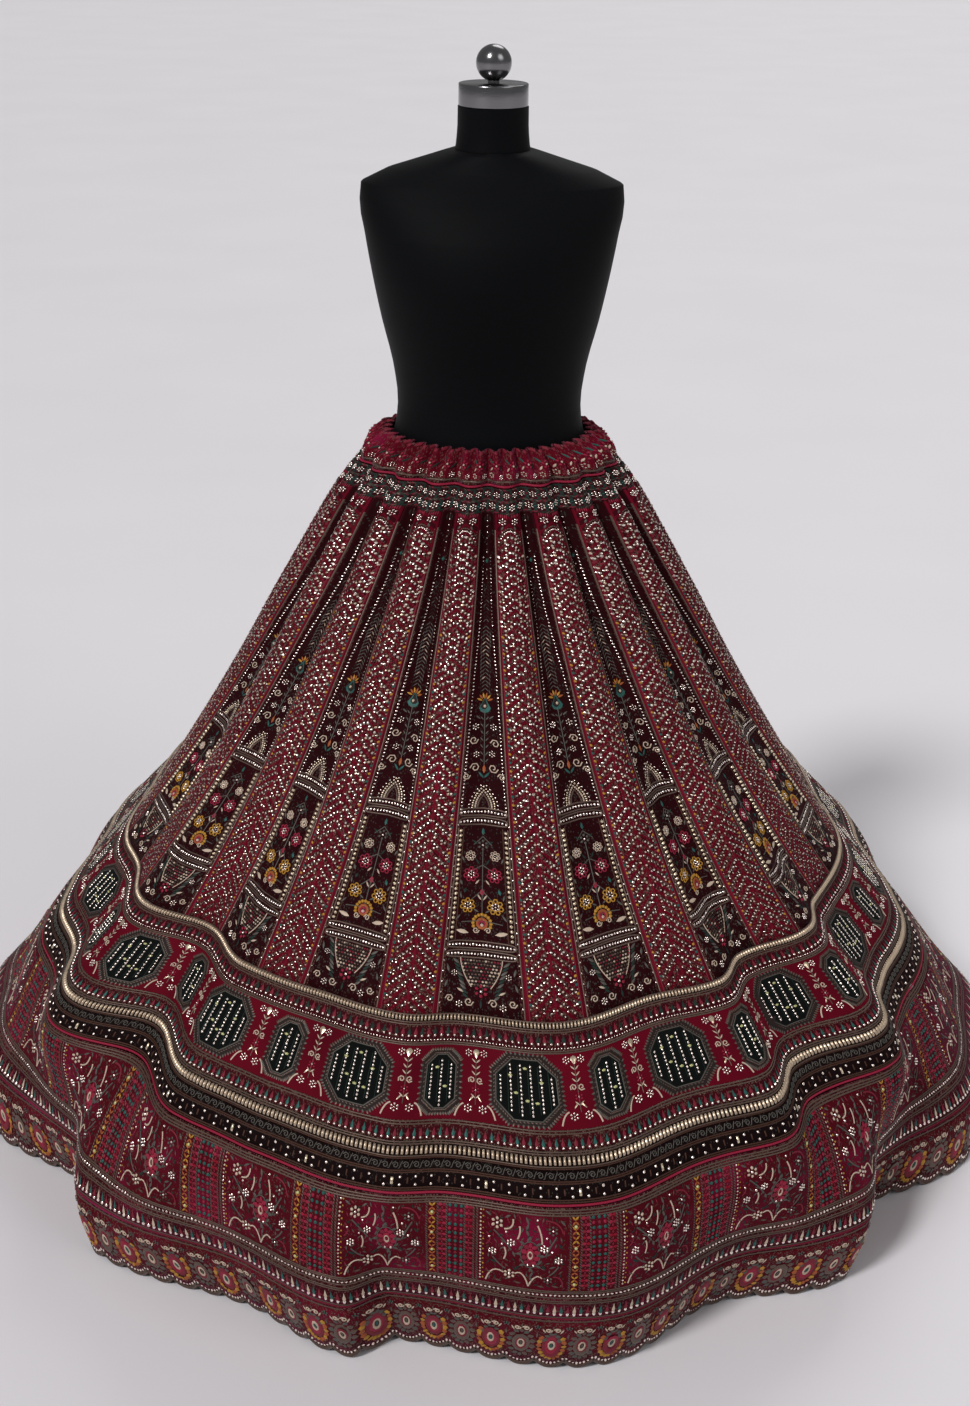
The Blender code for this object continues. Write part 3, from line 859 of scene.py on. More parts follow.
def chevron_zones(tree):
    """Stripes of old gold under the sequin rows and crimson between them, a plain red line down
    the middle of the lower part, and a red strip at either edge."""
    across, down = metres_of(tree)
    share = share_of(tree)
    row = tree.math("SUBTRACT", down, across)
    graded = tree.math("DIVIDE", tree.math("MULTIPLY_ADD", row, ROW_GROWTH, ROW_STEP), ROW_BASE)
    phase = tree.math("DIVIDE", tree.math("LOGARITHM", graded, np.e), ROW_GROWTH)
    off = tree.math("ABSOLUTE", tree.math("SUBTRACT", tree.math("FRACT", phase), 0.5))
    stripe = tree.math("GREATER_THAN", off, 0.20)
    hatch = tree.math("DIVIDE", tree.math("ADD", down, across), HATCH_STEP)
    hatch = tree.math("GREATER_THAN", tree.math("FRACT", hatch), 0.42)
    ground = tree.mix(stripe, CRIMSON, DEEP)
    thread = tree.mix(stripe, OLD_ROSE, OLD_GOLD)
    share_of_stitches = tree.math("MULTIPLY_ADD", stripe, 0.60, 0.20)
    share_of_stitches = tree.math("MULTIPLY_ADD", hatch, 0.20, share_of_stitches)
    middle = tree.math("LESS_THAN", across, LINE_HALF)
    middle = tree.math("MULTIPLY", middle, tree.math("GREATER_THAN", down, LINE_TOP))
    edge = tree.math("GREATER_THAN", share, CHEVRON_EDGE)
    plain = tree.math("MAXIMUM", middle, edge)
    ground = tree.mix(plain, ground, RED_LINE)
    rim = tree.math("MULTIPLY", tree.math("GREATER_THAN", share, CHEVRON_RIM), 0.5)
    stitches = tree.math("MAXIMUM", share_of_stitches, rim)
    amount = tree.math("MULTIPLY", tree.math("SUBTRACT", 1.0, plain), stitches)
    return yoke_over(tree, down, ground, thread, amount)


def vase_zones(tree):
    """Maroon velvet with grey stitches, thicker in the lower part and along the edges."""
    _, down = metres_of(tree)
    share = share_of(tree)
    edge = tree.math("GREATER_THAN", share, VASE_EDGE)
    low = tree.span(down, 0.30, 0.64, 0.18, 0.36)
    ground = tree.mix(edge, MAROON, DEEP)
    thread = tree.mix(edge, OLD_GREY, OLD_GOLD)
    amount = tree.math("MAXIMUM", low, tree.math("MULTIPLY", edge, 0.8))
    return yoke_over(tree, down, ground, thread, amount)


class LehengaSizes(bpy.types.PropertyGroup):
    """Sizes of the handwork that a maker would choose."""

    sequin: FloatProperty(
        name="Sequin", description="Radius of a small sequin", default=0.00110, unit="LENGTH"
    )
    sequin_step: FloatProperty(
        name="Sequin step", description="From one sequin to the next", default=0.0044, unit="LENGTH"
    )
    pearl: FloatProperty(
        name="Frame bead", description="Radius of a frame's beads", default=0.0026, unit="LENGTH"
    )
    rib: FloatProperty(
        name="Rib", description="Half height of a ribbed bead", default=0.0033, unit="LENGTH"
    )


class LehengaColours(bpy.types.PropertyGroup):
    """Colours of the stage and the form."""

    floor: FloatVectorProperty(
        name="Floor", description="Colour of the floor", subtype="COLOR", default=(0.76, 0.735, 0.76)
    )
    form: FloatVectorProperty(
        name="Form", description="Colour of the form's cover", subtype="COLOR",
        default=(0.0012, 0.0014, 0.0020),
    )


def sizes():
    return bpy.context.scene.lehenga_sizes


def flower(work, across, down, size, petal="silver", centre="silver", petals=6):
    """Separate beads at equal turns round a middle bead."""
    for turn in np.arange(petals) * 360 / petals:
        x = across - 0.70 * size * np.sin(np.radians(turn))
        y = down - 0.70 * size * np.cos(np.radians(turn))
        work.add("bead", petal, x, y, 0.25 * size, 0.28 * size, turn, 0.0010)
    work.add("bead", centre, across, down, 0.24 * size, rise=0.0012)


def ring_flower(work, across, down, size, rim, petals=7):
    """Petals outlined in one thread round a bead flower."""
    for turn in np.arange(petals) * 360 / petals:
        x = across + 0.70 * size * np.sin(np.radians(turn))
        y = down - 0.70 * size * np.cos(np.radians(turn))
        work.add("petal", rim, x, y, 0.34 * size, 0.34 * size, rise=0.0010)
    flower(work, across, down, 0.56 * size)


def petals(work, threads, middle, down, wide, tall, turns, length, shape="bead", fill=0.58):
    """Petals side by side on an ellipse about (middle, down): each is as broad as the gap to its
    neighbours, and stands square to the ellipse."""
    spin = np.radians(turns)
    step = np.radians(turns[1] - turns[0])
    across, up = wide * np.cos(spin), tall * np.sin(spin)
    broad = fill * step * np.hypot(across, up)
    turned = -np.degrees(np.arctan2(tall * np.sin(spin), wide * np.cos(spin)))
    x, y = middle + wide * np.sin(spin), down - tall * np.cos(spin)
    work.strew(shape, threads, x, y, broad, length, turned, 0.0012)


def curl(work, thread, across, down, size, side=1, turn=0.0, wide=0.0007):
    """A scroll: its radius shrinks evenly from size to a quarter over a turn and a quarter."""
    t = np.linspace(0, 1, 9)
    spin = np.radians(turn) + side * t * 2.5 * np.pi
    reach = size * (1 - 0.75 * t)
    work.line(thread, across + side * reach * np.cos(spin), down + reach * np.sin(spin), wide)


def bend(work, thread, start, middle, end, wide=0.0009):
    """A stem on the curve (1-t)^2 start + 2t(1-t) middle + t^2 end, all in millimetres."""
    t = np.linspace(0, 1, 7)[:, None]
    path = (1 - t) ** 2 * np.array(start) + 2 * t * (1 - t) * np.array(middle) + t**2 * np.array(end)
    work.line(thread, path[:, 0] * MM, path[:, 1] * MM, wide)


def braid(work, thread, length, *downs, wide=0.0008, count=480):
    """Cords round the whole ring, each so far down in millimetres."""
    across = np.linspace(0, length, count + 1)
    for down in downs:
        work.line(thread, across, np.full(count + 1, down * MM), wide)


def dots_along(work, thread, length, down, step, size, shape="sequin", tall=None, rise=0.0008):
    """Evenly spaced shapes round the whole ring."""
    count = int(round(length / step))
    across = np.arange(count) * length / count
    work.add(shape, thread, across, down * MM, size, tall, rise=rise)


def drop_row(work, length, step, down, drops):
    """Drops of each kind in turn round the whole ring, each kind a thread, half width and half
    height. Returns the places of them all."""
    count = int(length / step) // len(drops) * len(drops)
    across = np.arange(count) * length / count
    for k, (thread, wide, tall) in enumerate(drops):
        work.add("drop", thread, across[k :: len(drops)], down, wide, tall)
    return across


def hoops(work, across, down, rows):
    """Hoops about one middle: each row is a thread, half width, half height and rise."""
    for thread, wide, tall, rise in rows:
        work.add("hoop", thread, across, down, wide, tall, rise=rise)


class LEHENGA_OT_gores(bpy.types.Operator):
    """Lay the twenty vase gores and the twenty chevron gores"""

    bl_idname = "lehenga.gores"
    bl_label = "Gores"

    def execute(self, context):
        vase = velvet("vase_velvet", vase_zones, pile=0.03)
        chevron = velvet("chevron_velvet", chevron_zones)
        heights = np.linspace(WAIST_SEAM - PIPING / 2 - SEAM_GAP, GORE_SEAM + SEAM_GAP / 2, 36)
        half = smooth(FLUTES, 1, heights)
        for k in range(REPEATS):
            for kind, finish, columns, middle, reach, slot in (
                ("vase", vase, 9, k, half, "dark_velvet"),
                ("chevron", chevron, 11, k + 0.5, 0.5 - half, "chevron_embroidery"),
            ):
                share = np.linspace(-1, 1, columns)
                across = np.outer(reach * np.interp(-heights, -STEPS, FRONT), share)
                gap = np.degrees(0.7 * SEAM_GAP / level_radius(middle * PITCH, heights))
                angle = middle * PITCH + np.outer(PITCH * reach - gap, share)
                height = np.repeat(heights[:, None], columns, axis=1)
                across = across * np.radians(PITCH)
                name = f"{kind}_gore_cloth_{k + 1:02d}"
                obj = cloth(name, finish, angle, height, False, across)
                finish_piece(obj, slot, f"{kind}_gore_{k + 1:02d}")
                widths = 2 * reach * np.radians(PITCH) * level_radius(middle * PITCH, heights)
        return {"FINISHED"}


class LEHENGA_OT_yoke(bpy.types.Operator):
    """Work the rows of bead flowers below the waist seam"""

    bl_idname = "lehenga.yoke"
    bl_label = "Yoke flowers"

    def execute(self, context):
        ground = gore_ground(np.arange(REPEATS) * PITCH)
        work = Work()
        for row, down in enumerate((11.0, 26.0)):
            whole = np.interp(down * MM, DOWNS, FRONT) * np.radians(PITCH)
            across = (np.arange(4) + 0.5 * (row % 2)) * whole / 4
            flower(work, across, down * MM, 0.0046 if row else 0.0040)
            between = across + whole / 8
            for turn, reach in ((35, -3.5), (-35, -3.5), (90, 0.0), (35, 4.0), (-35, 4.0)):
                work.add("leaf", "green", between, (down + reach) * MM, 0.0013, 0.0036, turn)
            work.add("bead", "teal" if row % 2 else "rose", between, down * MM, 0.0012, rise=0.0014)
            fill = np.arange(20) * whole / 20
            kinds = ["green", "antique", "rose", "green", "umber"]
            for reach, turn in ((-7.0, 60), (7.2, -60)):
                work.strew("stitch", kinds, fill, (down + reach) * MM, 0.0009, 0.0028, turn)
        whole = np.interp(0.045, DOWNS, FRONT) * np.radians(PITCH)
        for side in (-1, 1):
            x = whole / 2 + side * 0.0072
            flower(work, x, 0.0435, 0.0046)
            work.add("leaf", "grey", x, 0.0515, 0.0013, 0.0030, side * 25)
            work.add("bead", "silver", x, 0.0560, 0.0010)
            row = whole / 2 + side * np.linspace(3, 11, 5) * MM
            work.strew("leaf", ["pink", "rose"], row, 0.0365, 0.0009, 0.0028)
        work.add("leaf", "umber", np.array([-3.2, 0.0, 3.2]) * MM, 0.0440, 0.0014, 0.0046)
        work.strew("sequin", ["silver", "antique"], 0.0, np.arange(0.040, 0.092, 0.0075), 0.0010)
        embroider("yoke_stitches", "chevron_embroidery", (work, ground))
        return {"FINISHED"}


class LEHENGA_OT_chevrons(bpy.types.Operator):
    """Work the rows of sequins and the dotted edges of the chevron gores"""

    bl_idname = "lehenga.chevrons"
    bl_label = "Chevron sequins"

    # Shares of the half width: how far the rows reach, and where the dots of the rim stand.
    REACH = 0.74
    RIM = 0.785
    # How far down the rows end.
    ROWS_FOOT = 0.640
    # How far below each row the second, sparser row lies, as a share of the step.
    SECOND_ROW = 0.36

    def execute(self, context):
        ground = gore_ground((np.arange(REPEATS) + 0.5) * PITCH)
        step, size = 0.86 * sizes().sequin_step, 1.25 * sizes().sequin
        work = Work()
        columns = np.arange(0.5, 13) * step
        across, phase = np.meshgrid(np.concatenate([-columns[::-1], columns]), np.arange(-6, 60))
        for offset in (0.0, self.SECOND_ROW):
            down = row_at(phase + offset) + np.abs(across)
            half = chevron_half(down)
            arch = ROW_TOP + 0.026 * (np.abs(across) / half) ** 2
            kept = (np.abs(across) < self.REACH * half) & (down < self.ROWS_FOOT) & (down > arch)
            if offset:
                kept &= np.round(np.abs(across) / step - 0.5) % 2 == 1
            x = across[kept] + DRAW.normal(0, 0.00035, kept.sum())
            y = down[kept] + DRAW.normal(0, 0.00040, kept.sum())
            wide = size * DRAW.uniform(0.8, 1.15, kept.sum())
            wide = wide * np.interp(y, [0.10, 0.35, 0.64], [1.08, 1.04, 0.86])
            kinds = ["silver"] * 8 + ["cream", "rose"]
            if offset:
                kinds = ["silver", "pale_gold", "rose", "cream"]
            work.strew("sequin", kinds, x, y, wide, rise=0.0007)
        downs = np.arange(0.188, 0.636, 0.0102)
        rim = self.RIM * chevron_half(downs)
        for side in (-1, 1):
            work.add("bead", "mustard", side * rim[::2], downs[::2], 0.0019, rise=0.0010)
            work.add("bead", "teal", side * rim[1::2], downs[1::2], 0.0019, rise=0.0010)
            between = downs + 0.0051
            work.add("sequin", "cream", side * self.RIM * chevron_half(between), between, 0.0008)
            high = np.arange(0.088, 0.186, 0.0062)
            rim_high = side * 0.82 * chevron_half(high)
            work.strew("sequin", ["cream", "silver", "rose"], rim_high, high, 0.0017)
            edge = np.linspace(0.056, 0.6445, 34)
            work.line("antique", side * 0.985 * chevron_half(edge), edge, 0.0008)
            work.line("rose", side * 0.84 * chevron_half(edge[3:]), edge[3:], 0.0006)
        crown = np.linspace(-self.REACH, self.REACH, 13)
        for k, thread in enumerate(("silver", "antique")):
            down = 0.0545 - 0.0035 * k + 0.027 * crown**2
            across = crown * chevron_half(down)
            work.add("sequin", thread, across, down, 0.0010)
        embroider("chevron_stitches", "chevron_embroidery", (work, ground))
        return {"FINISHED"}


class LEHENGA_OT_vases(bpy.types.Operator):
    """Work the beaded frames, flowers and vases of the vase gores"""

    bl_idname = "lehenga.vases"
    bl_label = "Vase panels"

    # Each row is across and down in millimetres, then the size and the colour of the petals.
    FLOWERS = (
        (-10.7, 303, 4.6, "silver"), (10.7, 303, 4.6, "silver"), (-9.5, 337, 4.4, "silver"),
        (9.5, 336, 4.4, "silver"), (0, 446, 6.8, "grey"), (0, 618, 8.2, "pink"),
        (-25, 634, 4.6, "silver"), (25, 634, 4.6, "silver"), (-31, 598, 4.0, "silver"),
        (31, 598, 4.0, "silver"),
    )
    RIM_FLOWERS = (
        (-14.5, 459, 6.2, "cream"), (14.5, 458, 6.2, "cream"), (-13.5, 481, 9.2, "pink"),
        (14.0, 481, 9.2, "pink"), (-17.0, 518, 9.0, "mustard"), (15.5, 518, 9.8, "mustard"),
    )
    CURLS = (
        # across, down, size, and the way round
        (-13, 319, 5.6, 1), (13, 323, 5.6, -1), (-11, 353, 6.2, -1), (11, 353, 6.2, 1),
        (-21, 362, 4.6, 1), (21, 362, 4.6, -1), (-14, 631, 5.5, 1), (14, 631, 5.5, -1),
        (-36, 628, 5.0, -1), (36, 628, 5.0, 1), (-7, 547, 4.0, 1), (7, 547, 4.0, -1),
    )
    STEMS = (
        # from across, down, to across, down
        (0, 281, 0, 350), (0, 452, 0, 540), (0, 470, -14, 478), (0, 470, 14, 478),
        (0, 500, -16, 514), (0, 500, 14, 514), (0, 436, -11, 446), (0, 436, 11, 446),
        (-3, 536, -24, 538), (3, 536, 24, 538),
    )
    LEAVES = (
        # across, down, half width, half length, turn, thread, and 2 for a leaf on either side
        (0, 430, 2.2, 4.5, 0, "teal", 1), (0, 502, 3.6, 5.0, 0, "pink", 1),
        (-3.5, 508, 1.2, 4.5, 35, "cream", 2), (20, 500, 2.4, 3.6, 20, "teal", 1),
        (-20, 500, 2.2, 3.4, -20, "green", 1), (-23, 549, 3.2, 8.0, 75, "cream", 2),
        (-9, 443, 1.6, 4.0, 50, "green", 2), (-6, 466, 1.5, 4.2, 30, "green", 2),
        (-23, 462, 1.4, 4.0, 20, "grey", 2), (-25, 506, 1.4, 4.0, 10, "grey", 2),
        (-7, 524, 1.4, 3.8, 60, "grey", 2), (-6, 490, 1.3, 3.6, -40, "cream", 2),
        (-38, 592, 1.8, 5.0, 12, "grey", 2), (-40, 610, 1.8, 5.0, -20, "grey", 2),
        (-24, 618, 1.6, 4.6, 60, "cream", 2), (0, 633, 1.8, 5.2, 0, "green", 1),
        (0, 355, 2.6, 5.4, 0, "orange", 1), (-3.6, 362, 1.7, 5.2, 40, "teal", 2),
        (-25, 490, 1.6, 4.0, 20, "grey", 1), (26, 530, 1.6, 4.6, 40, "grey", 1),
        (-28, 532, 1.6, 4.6, -40, "grey", 1), (-8, 292, 1.3, 4.0, 50, "grey", 2),
    )

    def flowers(self, work):
        for across, down, size, petal in self.FLOWERS:
            flower(work, across * MM, down * MM, size * MM, petal)
        for across, down, size, rim in self.RIM_FLOWERS:
            ring_flower(work, across * MM, down * MM, size * MM, rim)
        for across, down, size, side in self.CURLS:
            curl(work, "cream", across * MM, down * MM, size * MM, side)
        for x0, y0, x1, y1 in self.STEMS:
            work.line("grey", np.linspace(x0, x1, 4) * MM, np.linspace(y0, y1, 4) * MM, 0.0006)
        for across, down, wide, tall, turn, thread, sides in self.LEAVES:
            for side in (1, -1)[:sides]:
                x = side * across * MM
                work.add("leaf", thread, x, down * MM, wide * MM, tall * MM, side * turn, 0.0010)

    def fan(self, work, across, down, size):
        """A fan flower: petals over a half turn, a ring inside and a drop in the middle."""
        rim = np.linspace(-110, 110, 11)
        petals(work, ["mustard"], across * MM, down * MM, size * MM, size * MM, rim, 2.4 * MM)
        work.add("hoop", "orange", across * MM, down * MM, 0.72 * size * MM, rise=0.0013)
        work.add("hoop", "pink", across * MM, (down + 1) * MM, 0.46 * size * MM, rise=0.0014)
        work.add("pearl", "cream", across * MM, (down + 2) * MM, 0.22 * size * MM, rise=0.0015)

    def frame(self, work):
        """Dotted lines, an arch, two beaded bars, side beads, two more bars and the vase."""
        step, size, pearl = sizes().sequin_step, sizes().sequin, sizes().pearl
        downs = np.arange(0.094, 0.402, step)
        place = np.interp(downs, [0.094, 0.164, 0.237, 0.306, 0.400], [0.40, 0.48, 0.72, 0.82, 0.90])
        ferns = np.arange(0.182, 0.262, 0.0048)
        beads = np.arange(0.428, 0.560, 0.0058)
        scatter = np.arange(0.420, 0.640, 0.0125)
        for side in (-1, 1):
            work.add("sequin", "silver", side * place * vase_half(downs), downs, size)
            work.strew("leaf", ["grey", "grey", "cream"], side * 0.0022, ferns, 0.0008, 0.0033, side * 50)
            work.strew("leaf", ["grey", "umber"], side * 0.0055, ferns + 0.0020, 0.0008, 0.0026, side * 20)
            sprig = np.arange(0.285, 0.350, 0.0085)
            work.add("leaf", "grey", side * 0.0032, sprig, 0.0010, 0.0030, side * -40, 0.0007)
            rim = side * 0.84 * vase_half(beads)
            work.add("bead", "pale_gold", rim, beads, pearl, 0.9 * pearl, rise=0.0022)
            path = np.linspace(0.424, 0.560, 10)
            work.line("antique", side * 0.93 * vase_half(path), path, 0.0007)
            work.line("brown", side * 0.74 * vase_half(path), path, 0.0007)
            work.add("sequin", "silver", side * 0.985 * vase_half(scatter), scatter, size)
            rows = (13.5, 25.0, "pale_gold"), (10.0, 20.0, "cream"), (7.0, 15.0, "antique")
            for wide, tall, thread in rows:
                arch = np.linspace(0, 1, 10)
                x, y = side * wide * MM * (1 - arch**2), (401 - tall * arch) * MM
                work.add("sequin", thread, x, y, 0.0013, rise=0.0012)
            dots = np.linspace(0, 0.9, 7)
            x, y = side * 17.5 * MM * (1 - dots**2), (401 - 29 * dots) * MM
            work.add("sequin", "silver", x, y, 0.0010)
            lean = np.linspace(0, 1, 9)
            x, y = side * (29 - 11 * lean) * MM, (584 + 40 * lean) * MM
            work.strew("leaf", ["green", "grey"], x, y, 0.0020, 0.0052, side * -50)
            work.line("cream", side * (24 - 13 * lean**1.8) * MM, (580 + 34 * lean) * MM, 0.0006)
        for down in (406, 417, 564, 575):
            half = 0.88 * vase_half(down * MM)
            count = int(2 * half / 0.0036)
            across = np.linspace(-half, half, count)
            work.add("sequin", "silver", across, down * MM, 0.0014, 0.0017, rise=0.0014)
            turn = np.linspace(0, 2 * np.pi, 24, endpoint=False)
            x = half * 1.06 * np.sign(np.cos(turn)) * np.abs(np.cos(turn)) ** 0.3
            y = down * MM + 0.0042 * np.sign(np.sin(turn)) * np.abs(np.sin(turn)) ** 0.6
            work.line("antique", x, y, 0.0009, closed=True)
        for row in range(8):
            half = (22.5 - 11.5 * (row / 7) ** 1.8) * MM
            across = np.linspace(-half, half, 14 - row)
            down = (583 + 4.0 * row) * MM
            work.strew("sequin", ["antique", "cream", "rose", "antique"], across, down, 0.0016, 0.0013)
            work.line("umber", np.linspace(-half, half, 3), down + 0.002, 0.0006)

    def execute(self, context):
        ground = gore_ground(np.arange(REPEATS) * PITCH)
        frame_work, flower_work = Work(), Work()
        self.frame(frame_work)
        self.flowers(flower_work)
        self.fan(flower_work, 0, 539, 10.5)
        flower_work.add("bead", "teal", 0.0, 0.0990, 0.0022, 0.0028, rise=0.0014)
        flower_work.add("bead", "silver", 0.0, np.array([0.088, 0.110, 0.121]), 0.0013, rise=0.0012)
        stalk = np.arange(0.130, 0.178, 0.0048)
        for side in (-1, 1):
            flower_work.strew("leaf", ["umber", "grey"], side * 0.0019, stalk, 0.0008, 0.0028, side * 45)
        flower_work.add("drop", "teal", 0.0, 0.2780, 0.0076, 0.0098, rise=0.0010)
        flower_work.add("drop", "umber", 0.0, 0.2775, 0.0060, 0.0080, rise=0.0022)
        flower_work.add("pearl", "cream", 0.0, 0.2795, 0.0025, rise=0.0030)
        for k, turn in enumerate((-62, -38, -13, 13, 38, 62)):
            x, y = 0.0074 * np.sin(np.radians(turn)), 0.2745 - 0.0086 * np.cos(np.radians(turn))
            flower_work.add("leaf", "orange" if k % 2 else "mustard", x, y, 0.0016, 0.0040, -turn, 0.0011)
        embroider("vase_frames", "dark_velvet", (frame_work, ground))
        embroider("vase_flowers", "dark_velvet", (flower_work, ground))
        return {"FINISHED"}


class LEHENGA_OT_waistband(bpy.types.Operator):
    """Gather the waistband and lay its piping and flowers"""

    bl_idname = "lehenga.waistband"
    bl_label = "Waistband"

    # Millimetres down from the band's top, and the radius on which its motifs are laid.
    SPAN = (0, 39)
    MEAN_RADIUS = 0.145

    def execute(self, context):
        rows = ((0, DEEP, OLD_ROSE, 0.8), (3, CRIMSON, OLD_ROSE, 0.45), (31, DEEP, OLD_GOLD, 0.95))
        zones = banded(*self.SPAN, rows)
        # painted sheen: the last value mixes magenta into the waistband's colour in patches
        finish = velvet("waistband_velvet", zones, tint=(1.0, 0.25, 0.6), pile=0.20, painted_sheen=0.9)
        foot = WAIST_SEAM + PIPING / 2 + SEAM_GAP
        obj, arc = ring_cloth(
            "waistband_cloth", finish, WAISTBAND_TOP, foot, 8, 12 * GATHERS, radius=waistband_radius
        )
        finish_piece(obj, "velvet", "waistband")
        piping("waist_piping_cord", "waist_piping", WAIST_SEAM)

        def ground(across, down):
            middles = (np.arange(GATHERS)[:, None] + 0.5) * 360 / GATHERS
            return middles + np.degrees(across / self.MEAN_RADIUS), WAISTBAND_TOP - down

        work = Work()
        flower(work, 0.0, 0.015, 0.0052, "pink", "cream", 5)
        flower(work, 0.006, 0.028, 0.0032)
        flower(work, -0.006, 0.027, 0.0032, "cream", "rose")
        work.add("leaf", "teal", -0.0062, 0.012, 0.0013, 0.0038, 50)
        work.add("leaf", "green", 0.0062, 0.018, 0.0013, 0.0038, -50)
        work.add("leaf", "cream", -0.006, 0.020, 0.0010, 0.0030, -30)
        work.add("bead", "rose", np.array([-0.0075, 0, 0.0075]), 0.0022, 0.0030, 0.0022)
        work.line("antique", np.linspace(-0.0114, 0.0114, 9), 0.0335, 0.0009)
        embroider("waistband_stitches", "velvet", (work, ground), radius=waistband_radius)
        return {"FINISHED"}


def piping(name, node, height, steps=480, sides=6, sunk=0.0004):
    """A round cord, sunk a little into a seam: a circle of its radius carried round the skirt."""
    angle = np.linspace(0, 360, steps, endpoint=False)
    turn = np.arange(sides) * 2 * np.pi / sides
    lift = np.broadcast_to(PIPING / 2 * np.sin(turn) - sunk, (steps, sides))
    points = on_cloth(np.repeat(angle[:, None], sides, axis=1), height, lift)
    points[..., 2] = height + PIPING / 2 * np.cos(turn)
    i, j = np.indices((steps, sides)).reshape(2, -1)
    after_i, after_j = (i + 1) % steps, (j + 1) % sides
    corners = (i, j), (i, after_j), (after_i, after_j), (after_i, j)
    faces = np.stack([row * sides + column for row, column in corners], -1)
    obj = new_mesh(name, points.reshape(-1, 3), faces)
    obj.data.materials.append(thread_material("pink"))
    obj.data.shade_smooth()
    return finish_piece(obj, "piping", node)


class LEHENGA_OT_border(bpy.types.Operator):
    """Lay the border band with its ribs, drops, medallions and flower columns"""

    bl_idname = "lehenga.border"
    bl_label = "Border band"

    SPAN = (645, 807)
    # Heights of the rings on which the ribs, the medallions and the lower ribs are spaced.
    TOP_RING, MIDDLE_RING, FOOT_RING = 0.388, 0.345, 0.305
    DROP_STEP = 0.0072
    MEDALLIONS = 18
    WIDE, NARROW = 42, 24
    MIDDLE_DOWN = 0.7235
    GLINTS = ((-17.5, -15), (-11.5, 4), (11.5, 14), (0, -24), (17.5, -9), (0, 12))
    # Each row is across from the flower column, down in millimetres, then the size.
    COLUMN_FLOWERS = (
        (-9.0, 689, 4.8, "silver"), (9.0, 689, 4.8, "silver"), (0, 731, 5.0, "pink"),
        (-8, 752, 5.2, "silver"), (8, 752, 5.2, "silver"),
    )

    def octagon(self, half_wide, half_tall, cut, sides=3):
        """A cut rectangle, given in millimetres, as places in metres: each corner, and points on
        the side that follows it."""
        corners = np.array(
            [
                (half_wide, half_tall - cut), (half_wide - cut, half_tall),
                (cut - half_wide, half_tall), (-half_wide, half_tall - cut),
                (-half_wide, cut - half_tall), (cut - half_wide, -half_tall),
                (half_wide - cut, -half_tall), (half_wide, cut - half_tall),
            ]
        )
        ends = np.roll(corners, -1, axis=0)
        share = np.linspace(0, 1, sides + 1)[:-1, None, None]
        path = (corners * (1 - share) + ends * share).transpose(1, 0, 2).reshape(-1, 2)
        return path[::-1, 0] * MM, path[::-1, 1] * MM

    def medallion(self, work, middle, half_wide, half_tall, lines, glints):
        """A dark inlay in a frame of thread and small leaves, with upright lines of beads."""
        down = self.MIDDLE_DOWN
        cut = 0.46 * min(half_wide, half_tall)
        x, y = self.octagon(half_wide - 1.5, half_tall - 1.5, cut)
        work.patch("umber", middle + x, down + y, 0.0002)
        x, y = self.octagon(half_wide - 8, half_tall - 8, cut)
        work.patch("black_green", middle + x, down + y, 0.0005)
        for grow, thread, wide in ((7.4, "grey", 0.0008), (3.6, "umber", 0.0007)):
            x, y = self.octagon(half_wide - grow, half_tall - grow, cut)
            work.line(thread, middle + x, down + y, wide, closed=True)
        x, y = self.octagon(half_wide - 1.6, half_tall - 1.6, cut, 8)
        outward = np.degrees(np.arctan2(-x / half_wide, -y / half_tall))
        work.strew("leaf", ["grey", "antique"], middle + x, down + y, 0.0017, 0.0027, outward)
        x, y = self.octagon(half_wide - 5.6, half_tall - 5.6, cut, 8)
        work.add("stitch", "antique", middle + x, down + y, 0.0012, 0.0022, outward + 60)
        reach = (half_tall - 10) * MM
        rows = np.arange(-reach, reach + 0.0001, 0.0046)
        for k in range(lines):
            place = (k - (lines - 1) / 2) * 2 * (half_wide - 13) * MM / max(lines - 1, 1)
            inside = np.abs(rows) < reach - max(0.0, abs(place) - (half_wide - 9 - cut) * MM)
            row = down + rows[inside]
            work.add("bead", "silver", middle + place, row, 0.0016, 0.0021, rise=0.0015)
            shade = down + 0.85 * reach * np.linspace(-1, 1, 3)
            work.line("green", middle + place - 0.0032, shade, 0.0007)
        for across, up in glints:
            x, y = middle + across * MM, down + up * MM
            work.add("bead", "lime", x, y, 0.0032, 0.0020, rise=0.0016)

    def column(self, work, middle):
        """Flowers, leaves and scrolls between two medallions."""
        for across, down, size, thread in self.COLUMN_FLOWERS:
            flower(work, middle + across * MM, down * MM, size * MM, thread)
        for down in (698, 705, 712, 738):
            for side in (-1, 1):
                x = middle + side * 2.6 * MM
                work.add("leaf", "cream", x, down * MM, 0.0010, 0.0036, side * -45)
        work.add("drop", "pale_gold", middle, 0.6900, 0.0040, 0.0056, 180, 0.0012)
        for side in (-1, 1):
            curl(work, "cream", middle + side * 4.5 * MM, 0.720, 0.0042, side, 40)
            tip = middle / MM + side * 22.0, 762.0
            bend(work, "cream", tip, (tip[0] - side * 3, 749.0), (tip[0] - side * 9, 747.0))
            work.add("leaf", "pale_gold", middle + side * 4.4 * MM, 0.7405, 0.0012, 0.0042, side * 35)
        work.line("antique", middle, np.linspace(0.694, 0.748, 3), 0.0005)

